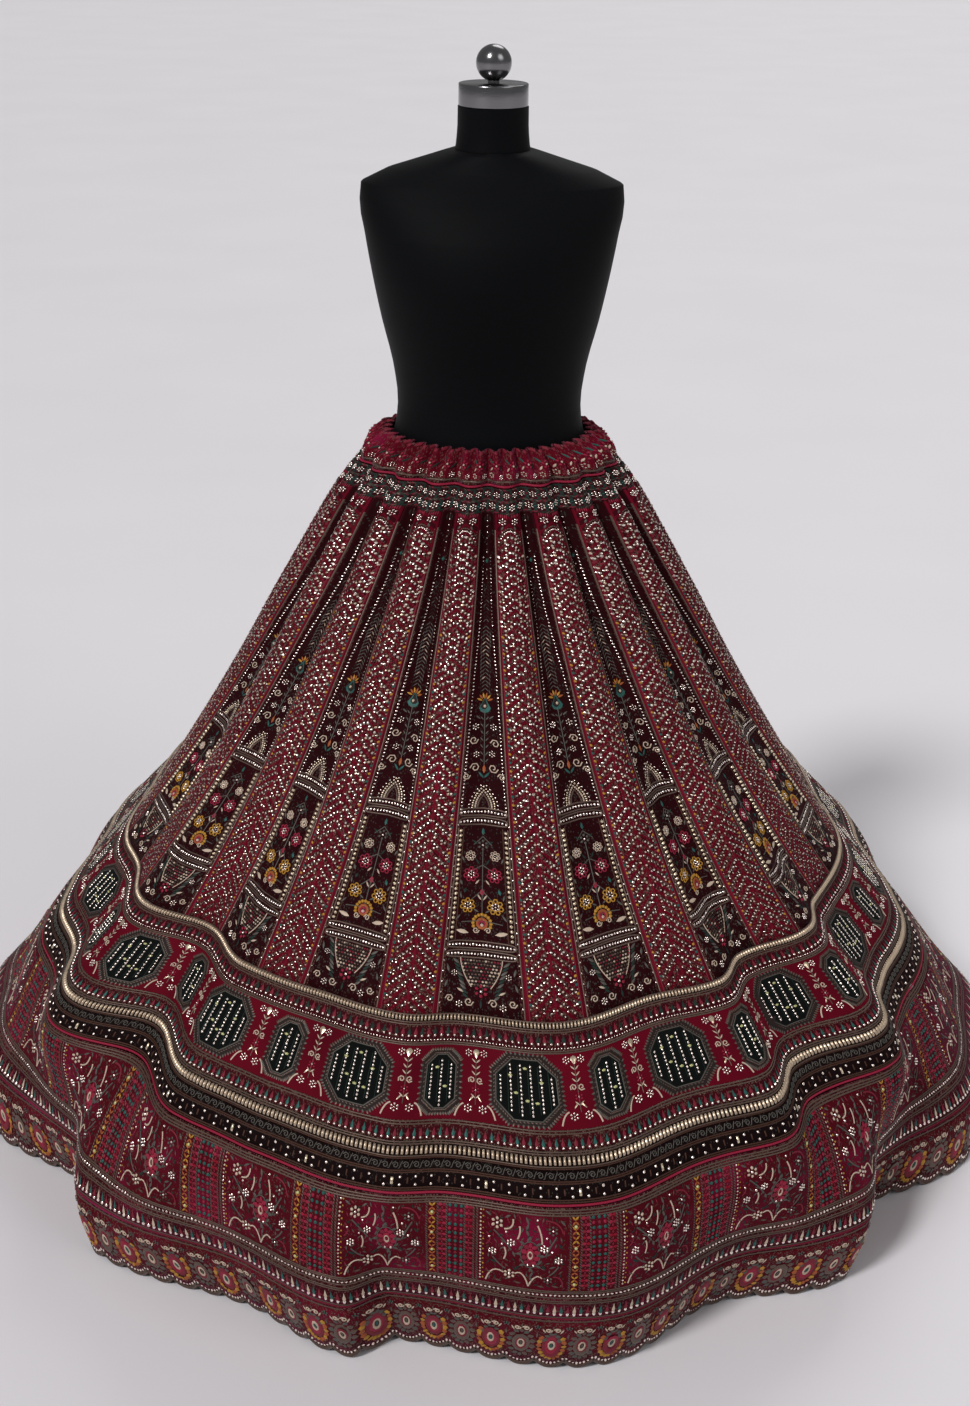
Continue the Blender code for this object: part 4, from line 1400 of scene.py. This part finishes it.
    def execute(self, context):
        rows = (
            (645, BLACKISH, OLD_GOLD, 0.15), (653.6, DEEP, OLD_GOLD, 0.8), (660, DEEP, OLD_GOLD, 0.35),
            (676.5, DEEP, OLD_GOLD, 0.9), (680.5, CRIMSON, CRIMSON, 0.0), (765.5, DEEP, OLD_GOLD, 0.85),
            (773, DEEP, OLD_GOLD, 0.4), (788, BLACKISH, OLD_GOLD, 0.9),
            (794, BLACKISH, OLD_GOLD, 0.15), (804.8, BLACKISH, OLD_GOLD, 0.9),
        )
        finish = velvet("border_velvet", banded(*self.SPAN, rows))
        obj, arc = ring_cloth(
            "border_cloth", finish, GORE_SEAM - SEAM_GAP / 2, TRIM_SEAM + SEAM_GAP / 2, 10, 600
        )
        finish_piece(obj, "velvet", "border_band")
        top, top_length = ring_ground(self.TOP_RING, 1)
        foot, foot_length = ring_ground(self.FOOT_RING, 1)
        ribs, lower = Work(), Work()
        rib = sizes().rib
        dots_along(ribs, "gilt", top_length, 649.6, 0.0042, 0.0012, "rib", rib, 0.0026)
        braid(ribs, "antique", top_length, 645.9, 654.6, 657.4, 678.8, 681.0)
        drops = ("rose", 0.0022, 0.0056), ("green", 0.0022, 0.0056)
        across = drop_row(ribs, top_length, self.DROP_STEP, 0.6655, drops)
        ribs.add("bead", "silver", across, 0.6705, 0.0017, rise=0.0014)
        dots_along(ribs, "silver", top_length, 675.6, 0.0036, 0.0009)
        braid(lower, "antique", foot_length, 767.4, 770.6, 790.0, 792.6, 805.9)
        drops = ("teal", 0.0020, 0.0054), ("rose", 0.0021, 0.0056)
        across = drop_row(lower, foot_length, self.DROP_STEP, 0.7800, drops)
        lower.add("bead", "silver", across, 0.7856, 0.0018, rise=0.0015)
        dots_along(lower, "gilt", foot_length, 799.4, 0.0052, 0.0014, "rib", 1.35 * rib, 0.0026)
        embroider("border_ribs", "velvet", (ribs, top), (lower, foot))

        ground, pitch = ring_ground(self.MIDDLE_RING, self.MEDALLIONS, start=0.053)
        work = Work()
        self.medallion(work, 0.0, self.WIDE, 41.5, 6, self.GLINTS)
        self.medallion(work, pitch / 2, self.NARROW, 38, 3, ((-5, -16), (5, 6)))
        between = 0.5 * (pitch / 2 + self.WIDE * MM - self.NARROW * MM)
        for middle in (between, pitch - between):
            self.column(work, middle)
        embroider("border_medallions", "velvet", (work, ground))
        return {"FINISHED"}


class LEHENGA_OT_dark_band(bpy.types.Operator):
    """Lay the dark band with its scrolls and pairs of mirrors"""

    bl_idname = "lehenga.dark_band"
    bl_label = "Dark band"

    SPAN = (806, 847)
    # Heights of the rings on which the scrolls, the lines and the mirrors are spaced.
    SCROLL_RING, LINE_RING, MIRROR_RING = 0.283, 0.273, 0.268
    SCROLLS = 340
    MIRRORS = 228

    def execute(self, context):
        rows = (
            (806, BLACKISH, OLD_GREY, 0.25), (821, BLACKISH, OLD_GREY, 0.7),
            (824.5, BLACKISH, OLD_GREY, 0.08), (839, BLACKISH, OLD_GREY, 0.7),
        )
        zones = banded(*self.SPAN, rows)
        finish = velvet("dark_velvet", zones, tint=(0.8, 0.4, 0.4), pile=0.04)
        foot_height = FLOUNCE_SEAM + PIPING / 2 + SEAM_GAP
        obj, arc = ring_cloth("dark_cloth", finish, TRIM_SEAM - SEAM_GAP / 2, foot_height, 4, 600)
        finish_piece(obj, "dark_velvet", "dark_band")
        whole, length = ring_ground(self.LINE_RING, 1)
        lines = Work()
        braid(lines, "brown", length, 807.8, 821.0, 823.2, 840.2, 842.6)
        scrolls, step = ring_ground(self.SCROLL_RING, self.SCROLLS)
        scroll = Work()
        curl(scroll, "grey", 0.0, 0.8152, 0.0040, 1, 200, 0.0006)
        scroll.line("grey", np.linspace(0.003, step - 0.004, 4), [0.8185, 0.8185, 0.814, 0.811], 0.0005)
        mirrors, gap = ring_ground(self.MIRROR_RING, self.MIRRORS)
        mirror = Work()
        for down in (0.8278, 0.8365):
            mirror.add("pearl", "silver", 0.0, down, 0.0018, rise=0.0012)
        mirror.add("rib", "brown", gap / 2, 0.832, 0.0009, 0.0034, rise=0.0008)
        bars, _ = ring_ground(self.MIRROR_RING, self.MIRRORS // 6, start=gap / 2)
        bar = Work()
        bar.add("rib", "pale_gold", 0.0, 0.832, 0.0014, 0.0040, rise=0.0014)
        works = (lines, whole), (scroll, scrolls), (mirror, mirrors), (bar, bars)
        embroider("dark_band_stitches", "dark_velvet", *works)
        return {"FINISHED"}


class LEHENGA_OT_flounce(bpy.types.Operator):
    """Lay the flounce with its striped and flowered blocks and its lower edge lines"""

    bl_idname = "lehenga.flounce"
    bl_label = "Flounce"

    SPAN = (846, 1008)
    # Heights of the rings on which the head lines, the blocks and the lower lines are spaced.
    HEAD_RING, BLOCK_RING, EDGE_RING = 0.250, 0.180, 0.140
    DROP_STEP = 0.0074
    BLOCKS = 26
    # Across and down in millimetres, and size, in a block of flowers.
    FLOWERS = (
        (-32, 871, 7.4, "cream"), (30, 873.5, 6.2, "grey"), (-16.5, 893, 5.2, "silver"),
        (-37, 908, 5.2, "silver"), (20.5, 896.5, 5.2, "silver"), (36.5, 911.5, 5.2, "silver"),
        (-17.5, 938, 7.0, "cream"), (25.5, 941, 5.8, "grey"),
    )
    DOTS = (
        (-22, 880), (-26.5, 896.5), (23, 882.5), (29, 900), (2.5, 921), (9, 921), (-41, 889),
        (13, 862),
    )
    BENDS = (
        # thread, start, middle, end
        ("cream", (-24, 877), (-13, 876), (-14, 864)), ("cream", (-9, 887), (-5, 878), (-7, 871)),
        ("cream", (13, 868), (18, 878), (18, 890)), ("cream", (-24, 917), (-20, 908), (-24, 900)),
        ("cream", (-44, 952), (-38, 928), (-24, 937)), ("cream", (-11, 936), (-2, 928), (4, 952)),
        ("cream", (4, 952), (12, 930), (19, 939)), ("rose", (31, 936), (42, 934), (42, 950)),
        ("grey", (-36, 880), (-24, 890), (-16, 903)), ("grey", (34, 880), (27, 892), (22, 906)),
        ("grey", (-37, 916), (-30, 926), (-22, 931)), ("grey", (37, 920), (32, 930), (27, 934)),
        ("rose", (22, 862), (38, 862), (41, 876)), ("rose", (-44, 884), (-36, 892), (-44, 900)),
    )
    LEAVES = (
        # across, down, half width, half length, turn, thread
        (2, 864, 1.8, 4.6, 20, "grey"), (2, 871, 1.8, 4.6, -20, "grey"),
        (2, 878, 1.8, 4.6, 20, "grey"), (3, 886, 1.8, 4.6, -20, "grey"),
        (7, 928, 1.8, 4.6, 20, "grey"), (7, 935, 1.8, 4.6, -20, "grey"),
        (7, 942, 1.8, 4.6, 20, "grey"), (-36, 923, 2.2, 5.0, 60, "green"),
        (-13, 908, 1.8, 4.6, 20, "grey"), (-9, 927, 1.8, 4.6, -40, "green"),
        (20, 922, 1.8, 4.6, 40, "green"), (30, 922, 1.8, 4.6, -60, "grey"),
        (-28, 886, 1.8, 4.4, -50, "green"), (38, 892, 1.8, 4.4, 30, "green"),
        (14, 905, 1.6, 4.2, -20, "grey"), (-4, 916, 1.6, 4.2, 30, "grey"),
        (16, 916, 1.6, 4.2, -30, "grey"), (-6, 898, 1.6, 4.2, -25, "grey"),
        (-42, 862, 1.6, 4.2, 60, "grey"), (-20, 862, 1.6, 4.2, -60, "grey"),
        (41, 864, 1.6, 4.2, 40, "grey"), (-40, 940, 1.6, 4.2, 70, "antique"),
        (-30, 950, 1.6, 4.2, 80, "antique"), (-8, 949, 1.6, 4.2, 80, "antique"),
        (18, 951, 1.6, 4.2, 80, "antique"), (34, 950, 1.6, 4.2, 80, "antique"),
    )

    def stripes(self, work, middle):
        """Upright rows: mustard zigzag, pink bows, teal and pink dots, and grey braids."""
        top, foot = 0.859, 0.955
        fine = np.arange(top, foot, 0.0055)
        turn = 42 * (-1) ** np.arange(len(fine))
        for k, side in ((-27, 1), (-23.5, -1)):
            work.strew("stitch", ["mustard", "orange"], middle + k * MM, fine, 0.0015, 0.0034, side * turn)
        spaced = np.arange(top + 0.009, foot, 0.026)
        work.add("pearl", "lime", middle - 25.2 * MM, spaced, 0.0020, rise=0.0016)
        bows = np.arange(top, foot, 0.0074)
        for k in (-14, 16):
            for side in (-1, 1):
                place = middle + (k + side * 2.3) * MM
                work.strew("leaf", ["pink", "rose", "red"], place, bows, 0.0024, 0.0029, side * 90)
            work.add("stitch", "rose", middle + k * MM, bows + 0.0037, 0.0015, 0.0024)
        for k in (-5.5, 1.0, 7.5):
            dots = np.arange(top, foot, 0.0056)
            work.add("bead", "teal", middle + k * MM, dots[::2], 0.0021, 0.0023, rise=0.0011)
            work.strew("bead", ["pink", "rose"], middle + k * MM, dots[1::2], 0.0021, 0.0023, rise=0.0011)
        for k in (-31, -19, -9, 11.3, 21.5, 25.5):
            braided = np.arange(top, foot, 0.0034)
            work.strew("stitch", ["grey", "antique"], middle + k * MM, braided, 0.0011, 0.0025, 35)
        work.strew("sequin", ["cream", "silver"], middle + 29.5 * MM, np.arange(top, foot, 0.0046), 0.0012)
        work.add("sequin", "mustard", middle + 32.5 * MM, np.arange(top, foot, 0.0070), 0.0011)

    def heart(self, work, across, down):
        """The middle flower: spaced leaves, a thin rim, petals and two rings."""
        leaves, rim = np.arange(8) * 45, np.linspace(0, 2 * np.pi, 18, endpoint=False)
        petals(work, ["grey"], across, down, 0.0130, 0.0220, leaves, 0.0036, "leaf", 0.16)
        x, y = across + 0.0108 * np.sin(rim), down + 0.0182 * np.cos(rim)
        work.line("grey", x, y, 0.0006, closed=True)
        petals(work, ["rose", "pink"], across, down, 0.0074, 0.0132, np.arange(10) * 36, 0.0040, "leaf")
        rings = ("pink", 0.0050, 0.0096, 0.0014), ("cream", 0.0034, 0.0070, 0.0014)
        hoops(work, across, down, rings)
        work.add("leaf", "rose", across, down, 0.0013, 0.0030, rise=0.0012)

    def flowers(self, work, middle):
        for across, down, size, thread in self.FLOWERS:
            flower(work, middle + across * MM, down * MM, size * MM, thread)
        self.heart(work, middle + 5.3 * MM, 0.9065)
        fill_x, fill_y = np.meshgrid(np.arange(-42, 43, 7.5), np.arange(863, 955, 10.5))
        fill_x = fill_x + DRAW.uniform(-2.2, 2.2, fill_x.shape)
        fill_y = fill_y + DRAW.uniform(-3.0, 3.0, fill_x.shape)
        turned = DRAW.uniform(-70, 70, fill_x.shape)
        kinds = ["grey", "antique", "green", "rose", "brown"]
        work.strew("stitch", kinds, middle + fill_x * MM, fill_y * MM, 0.0012, 0.0034, turned, 0.0005)
        for across, down in self.DOTS:
            work.add("bead", "silver", middle + across * MM, down * MM, 0.0015, rise=0.0012)
        for thread, *path in self.BENDS:
            bend(work, thread, *path)
        for across, down, wide, tall, turn, thread in self.LEAVES:
            x = middle + across * MM
            work.add("leaf", thread, x, down * MM, wide * MM, tall * MM, turn, 0.0009)

    def execute(self, context):
        rows = (
            (846, DEEP, OLD_GOLD, 0.9), (857, WINE, OLD_GOLD, 0.16), (956, DEEP, OLD_GOLD, 0.9),
            (977, DEEP, OLD_GOLD, 0.5), (1001, DEEP, OLD_GOLD, 0.9), (1005, CRIMSON, OLD_GOLD, 0.1),
        )
        zones = banded(*self.SPAN, rows)
        # painted sheen: the last value mixes magenta into the flounce's colour in patches
        finish = velvet("flounce_velvet", zones, tint=(1.0, 0.06, 0.40), pile=0.13, painted_sheen=0.60)
        top_height = FLOUNCE_SEAM - PIPING / 2 - SEAM_GAP
        obj, arc = ring_cloth("flounce_cloth", finish, top_height, SCALLOP_SEAM + SEAM_GAP / 2, 12, 630)
        finish_piece(obj, "velvet", "flounce")
        piping("flounce_piping_cord", "flounce_piping", FLOUNCE_SEAM)
        ground, pitch = ring_ground(self.BLOCK_RING, self.BLOCKS, start=0.054)
        work = Work()
        self.flowers(work, 0.0)
        self.stripes(work, pitch / 2)
        embroider("flounce_blocks", "velvet", (work, ground))
        edge, length = ring_ground(self.EDGE_RING, 1)
        high, high_length = ring_ground(self.HEAD_RING, 1)
        upper, lower = Work(), Work()
        braid(upper, "antique", high_length, 850.6, 853.6, 856.4)
        braid(lower, "antique", length, 957.2, 959.6, 967.4, 973.0, 976.0, 1001.5)
        braid(lower, "rose", length, 1004.4)
        dots_along(lower, "silver", length, 963.4, 0.0049, 0.0015, rise=0.0012)
        drops = [(thread, 0.0020, 0.0078) for thread in ("cream", "teal", "rose")]
        across = drop_row(lower, length, self.DROP_STEP, 0.9880, drops)
        lower.add("bead", "silver", across, 0.9955, 0.0020, 0.0026, rise=0.0014)
        embroider("flounce_edges", "velvet", (upper, high), (lower, edge))
        return {"FINISHED"}


def scallop_foot(share):
    """Height of the scalloped edge over one scallop: a notch at each end, the floor between."""
    return SCALLOP_DEPTH * np.abs(2 * share - 1) ** 2.2


class LEHENGA_OT_scallops(bpy.types.Operator):
    """Lay the scalloped hem with its fans, round leaves and edge dots"""

    bl_idname = "lehenga.scallops"
    bl_label = "Scalloped hem"

    SPAN = (1007, 1114)
    # Columns of cloth in each scallop, and the height where the cloth's round is measured.
    COLUMNS = 8
    MIDDLE = 0.05

    def execute(self, context):
        rows = ((1007, DEEP, OLD_GOLD, 0.85), (1013, WINE, OLD_GOLD, 0.50), (1082, DEEP, OLD_GOLD, 0.85))
        zones = banded(*self.SPAN, rows)
        # painted sheen: the last value mixes magenta into the scallops' colour in patches
        finish = velvet("scallop_velvet", zones, tint=(1.0, 0.10, 0.4), pile=0.10, painted_sheen=0.3)
        count = SCALLOPS * self.COLUMNS
        foot = scallop_foot(np.arange(count) % self.COLUMNS / self.COLUMNS)
        top = SCALLOP_SEAM - SEAM_GAP / 2
        obj, arc = ring_cloth("scallop_cloth", finish, top, foot, 6, count, self.MIDDLE)
        finish_piece(obj, "velvet", "scalloped_border")
        self.stitches(arc / SCALLOPS)
        return {"FINISHED"}

    def stitches(self, pitch):
        """Fans and round leaves on every other scallop, and the edge's lines and dots on all."""
        half = pitch / 2

        def every_other(first):
            middles = (np.arange(first, SCALLOPS, 2) + 0.5) * 360 / SCALLOPS

            def ground(across, down):
                return middles[:, None] + across / half * 180 / SCALLOPS, height_at(down)

            return ground

        fans, rounds, both = Work(), Work(), Work()
        middle = 1.062
        gold = ["mustard", "mustard", "orange"]
        petals(fans, gold, 0.0, middle, 0.0146, 0.0290, np.linspace(58, 302, 15), 0.0036)
        crown = np.linspace(-70, 70, 6)
        petals(fans, ["grey"], 0.0, middle - 0.004, 0.0092, 0.0220, crown, 0.0036, "leaf")
        rings = (
            ("rose", 0.0118, 0.0240, 0.0011), ("pink", 0.0084, 0.0180, 0.0012),
            ("cream", 0.0048, 0.0114, 0.0014),
        )
        hoops(fans, 0.0, middle, rings)
        fans.add("leaf", "teal", 0.0, middle, 0.0021, 0.0070, rise=0.0014)
        grey = ["grey", "grey", "antique"]
        around = np.arange(14) * 360 / 14
        petals(rounds, grey, 0.0, middle, 0.0138, 0.0270, around, 0.0042, "leaf", 0.52)
        rings = (
            ("antique", 0.0110, 0.0216, 0.0011), ("rose", 0.0078, 0.0160, 0.0011),
            ("cream", 0.0050, 0.0112, 0.0013),
        )
        hoops(rounds, 0.0, middle, rings)
        rounds.add("leaf", "grey", 0.0, middle, 0.0020, 0.0062, rise=0.0013)
        for work in (fans, rounds):
            for side in (-1, 1):
                curl(work, "cream", side * 0.0050, middle - 0.0330, 0.0044, side, 200, 0.0010)
                work.add("leaf", "cream", side * 0.0104, middle - 0.0310, 0.0014, 0.0048, side * -25)
            work.add("leaf", "antique", 0.0, middle - 0.0380, 0.0013, 0.0046)
        flower(both, half, 1.024, 0.0044, "grey", "teal", 5)
        both.add("leaf", "antique", half, 1.041, 0.0016, 0.0056)
        share = np.linspace(0, 1, 13)
        edge = down_at(scallop_foot(share))
        for drop, thread, wide in ((0.0022, "antique", 0.0018), (0.0062, "antique", 0.0010)):
            both.line(thread, (share - 0.5) * pitch, edge - drop, wide, 0.0012)
        dots = (np.arange(8) + 0.5) / 8
        dots_down = down_at(scallop_foot(dots)) - 0.0108
        both.add("bead", "silver", (dots - 0.5) * pitch, dots_down, 0.0016, 0.0026)
        both.line("antique", np.linspace(-half, half, 3), 1.0105, 0.0010)
        everywhere = every_other(0), every_other(1)
        embroider("scallop_motifs", "velvet", (fans, everywhere[0]), (rounds, everywhere[1]))
        embroider("scallop_edges", "velvet", (both, everywhere[0]), (both, everywhere[1]))


def lathe(name, node, finish, rows, sides=96, shift=NECK_SHIFT):
    """A closed surface through ovals (w sin a, shift - d cos a, z), with a flat at each end. Each
    row is height and radius, or height, half width, half depth and shift."""
    rows = np.array([row if len(row) == 4 else (row[0], row[1], row[1], shift) for row in rows])
    height, wide, deep, back = rows.T
    turn = np.arange(sides) * 2 * np.pi / sides
    sections = [
        np.outer(wide, np.sin(turn)), back[:, None] - np.outer(deep, np.cos(turn)),
        np.repeat(height[:, None], sides, axis=1),
    ]
    ends = [(0.0, back[0], height[0]), (0.0, back[-1], height[-1])]
    points = np.concatenate([np.stack(sections, -1).reshape(-1, 3), ends])
    count = len(rows) * sides
    foot = fan_faces(0, sides, count)[:, [1, 0, 2]]
    top = fan_faces(count - sides, sides, count + 1)
    obj = new_mesh(name, points, np.concatenate([*round_faces(len(rows), sides), foot, top]))
    obj.data.materials.append(finish)
    obj.data.shade_smooth()
    obj.data.set_sharp_from_angle(angle=np.radians(SHARP_ANGLE))
    return finish_piece(obj, FORM_SLOTS[node], node)


SHARP_ANGLE = 42
FORM_SLOTS = {
    "form_torso": "form_cloth", "form_neck": "form_cloth", "form_neck_cap": "form_chrome",
    "form_ball": "form_chrome", "form_pole": "form_chrome", "form_base": "form_base",
}


class LEHENGA_OT_form(bpy.types.Operator):
    """Finish the dress form: its stretched cover, chrome cap, ball and pole, and its base"""

    bl_idname = "lehenga.form"
    bl_label = "Dress form"

    def execute(self, context):
        colour = context.scene.lehenga_colours.form
        cover, tree, shader = principled("form_cover", colour, 0.0, 0.62, specular=0.07, sheen=0.02)
        place = tree.solid()
        knit = tree.noise(place, 900.0, 1.0)
        mottle(tree, shader, tree.noise(place, 7.0, 2.0), colour, 0.7, 1.4)
        bumped(tree, shader, knit, 0.0004)
        chrome, tree, shader = principled("form_chrome_plate", CHROME, 1.0, 0.18)
        brushed = tree.node("Mapping", {"Vector": tree.solid(), "Scale": (1.0, 1.0, 60.0)})
        bumped(tree, shader, tree.noise(brushed.outputs[0], 60.0), 0.0001)
        plate, tree, shader = principled("form_base_enamel", ENAMEL, 0.3, 0.38)
        bumped(tree, shader, tree.noise(tree.solid(), 300.0), 0.0002)
        heights = np.unique(np.concatenate([np.array(TORSO)[:, 0], np.linspace(0.672, 1.268, 34)]))
        torso = [(h, *(float(smooth(TORSO, k, h)) for k in (1, 2, 3))) for h in heights]
        lathe("torso_cover", "form_torso", cover, torso)
        lathe("neck_cover", "form_neck", cover, NECK)
        lathe("chrome_cap", "form_neck_cap", chrome, NECK_CAP)
        first = np.arcsin(BALL_STEM / BALL_RADIUS)
        turns = np.linspace(first, np.pi - 0.04, 24)
        ball = [(BALL_CENTRE - BALL_RADIUS * np.cos(t), BALL_RADIUS * np.sin(t)) for t in turns]
        lathe("chrome_ball", "form_ball", chrome, [(1.3483, BALL_STEM), *ball], 64)
        lathe("base_plate", "form_base", plate, BASE, shift=0.0)
        lathe("chrome_pole", "form_pole", chrome, POLE, 48, shift=0.0)
        return {"FINISHED"}


class LEHENGA_OT_stage(bpy.types.Operator):
    """Set the floor, the soft lights and the camera"""

    bl_idname = "lehenga.stage"
    bl_label = "Stage"

    # Name, direction from which the light comes, strength, and spread in degrees.
    LAMPS = (
        ("key", (-0.60, -0.75, 0.95), 2.05, 10.0),
        ("fill", (0.90, -0.70, 0.80), 0.45, 30.0),
        ("back", (0.25, 0.90, 0.90), 0.60, 30.0),
    )
    ROOM_COLOUR = (0.80, 0.80, 0.82, 1.0)
    ROOM_STRENGTH = 0.30
    FLOOR_HEIGHT = -0.0008
    FLOOR_RINGS = (30.0, 3.0, 1.0)
    CAMERA_PLACE = (0.0, -2.36, 1.593)
    CAMERA_PITCH = 66.0
    CAMERA_ROLL = 0.8
    LENS = 48.65

    def execute(self, context):
        scene = context.scene
        rings = [polygon(96, radius, self.FLOOR_HEIGHT) for radius in self.FLOOR_RINGS]
        floor = new_mesh("floor", *capped(*rings, np.array([(0.0, 0.0, self.FLOOR_HEIGHT)])))
        colour = scene.lehenga_colours.floor
        finish, tree, shader = principled("floor_paint", colour, 0.0, 0.55)
        mottle(tree, shader, tree.noise(tree.solid(), 1.5, 3.0), colour, 0.96, 1.04)
        floor.data.materials.append(finish)
        floor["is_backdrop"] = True
        for name, source, strength, spread in self.LAMPS:
            lamp = bpy.data.lights.new(name, "SUN")
            lamp.energy = strength
            lamp.angle = np.radians(spread)
            obj = new_object(name, lamp)
            obj.rotation_euler = Vector(source).to_track_quat("Z", "Y").to_euler()
        world = bpy.data.worlds.new("soft room")
        world.use_nodes = True
        background = world.node_tree.nodes["Background"]
        background.inputs["Color"].default_value = self.ROOM_COLOUR
        background.inputs["Strength"].default_value = self.ROOM_STRENGTH
        scene.world = world
        camera = bpy.data.cameras.new("camera")
        camera.lens = self.LENS
        obj = new_object("camera", camera)
        pitch = Matrix.Rotation(np.radians(self.CAMERA_PITCH), 4, "X")
        roll = Matrix.Rotation(np.radians(self.CAMERA_ROLL), 4, "Z")
        obj.matrix_world = Matrix.Translation(self.CAMERA_PLACE) @ pitch @ roll
        scene.camera = obj
        scene.view_settings.view_transform = "Standard"
        return {"FINISHED"}


STEPS_IN_ORDER = (
    LEHENGA_OT_waistband, LEHENGA_OT_gores, LEHENGA_OT_yoke, LEHENGA_OT_chevrons, LEHENGA_OT_vases,
    LEHENGA_OT_border, LEHENGA_OT_dark_band, LEHENGA_OT_flounce, LEHENGA_OT_scallops,
    LEHENGA_OT_form, LEHENGA_OT_stage,
)


class LEHENGA_PT_panel(bpy.types.Panel):
    """Sizes, colours and steps of the skirt"""

    bl_label = "Lehenga Skirt"
    bl_idname = "LEHENGA_PT_panel"
    bl_space_type = "VIEW_3D"
    bl_region_type = "UI"
    bl_category = "Lehenga"

    def draw(self, context):
        for group in (context.scene.lehenga_sizes, context.scene.lehenga_colours):
            for key in group.__annotations__:
                self.layout.prop(group, key)
        for step in STEPS_IN_ORDER:
            self.layout.operator(step.bl_idname)


CLASSES = (LehengaSizes, LehengaColours, *STEPS_IN_ORDER, LEHENGA_PT_panel)


def register():
    for made in CLASSES:
        bpy.utils.register_class(made)
    bpy.types.Scene.lehenga_sizes = PointerProperty(type=LehengaSizes)
    bpy.types.Scene.lehenga_colours = PointerProperty(type=LehengaColours)


def unregister():
    del bpy.types.Scene.lehenga_sizes
    del bpy.types.Scene.lehenga_colours
    for made in reversed(CLASSES):
        bpy.utils.unregister_class(made)


def main():
    register()
    for step in STEPS_IN_ORDER:
        group, action = step.bl_idname.split(".")
        getattr(getattr(bpy.ops, group), action)()
    boxes = {"cad": CAD_BOX, "visual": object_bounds()}
    {key: [list(corner) for corner in box] for key, box in boxes.items()}


if __name__ == "__main__":
    main()
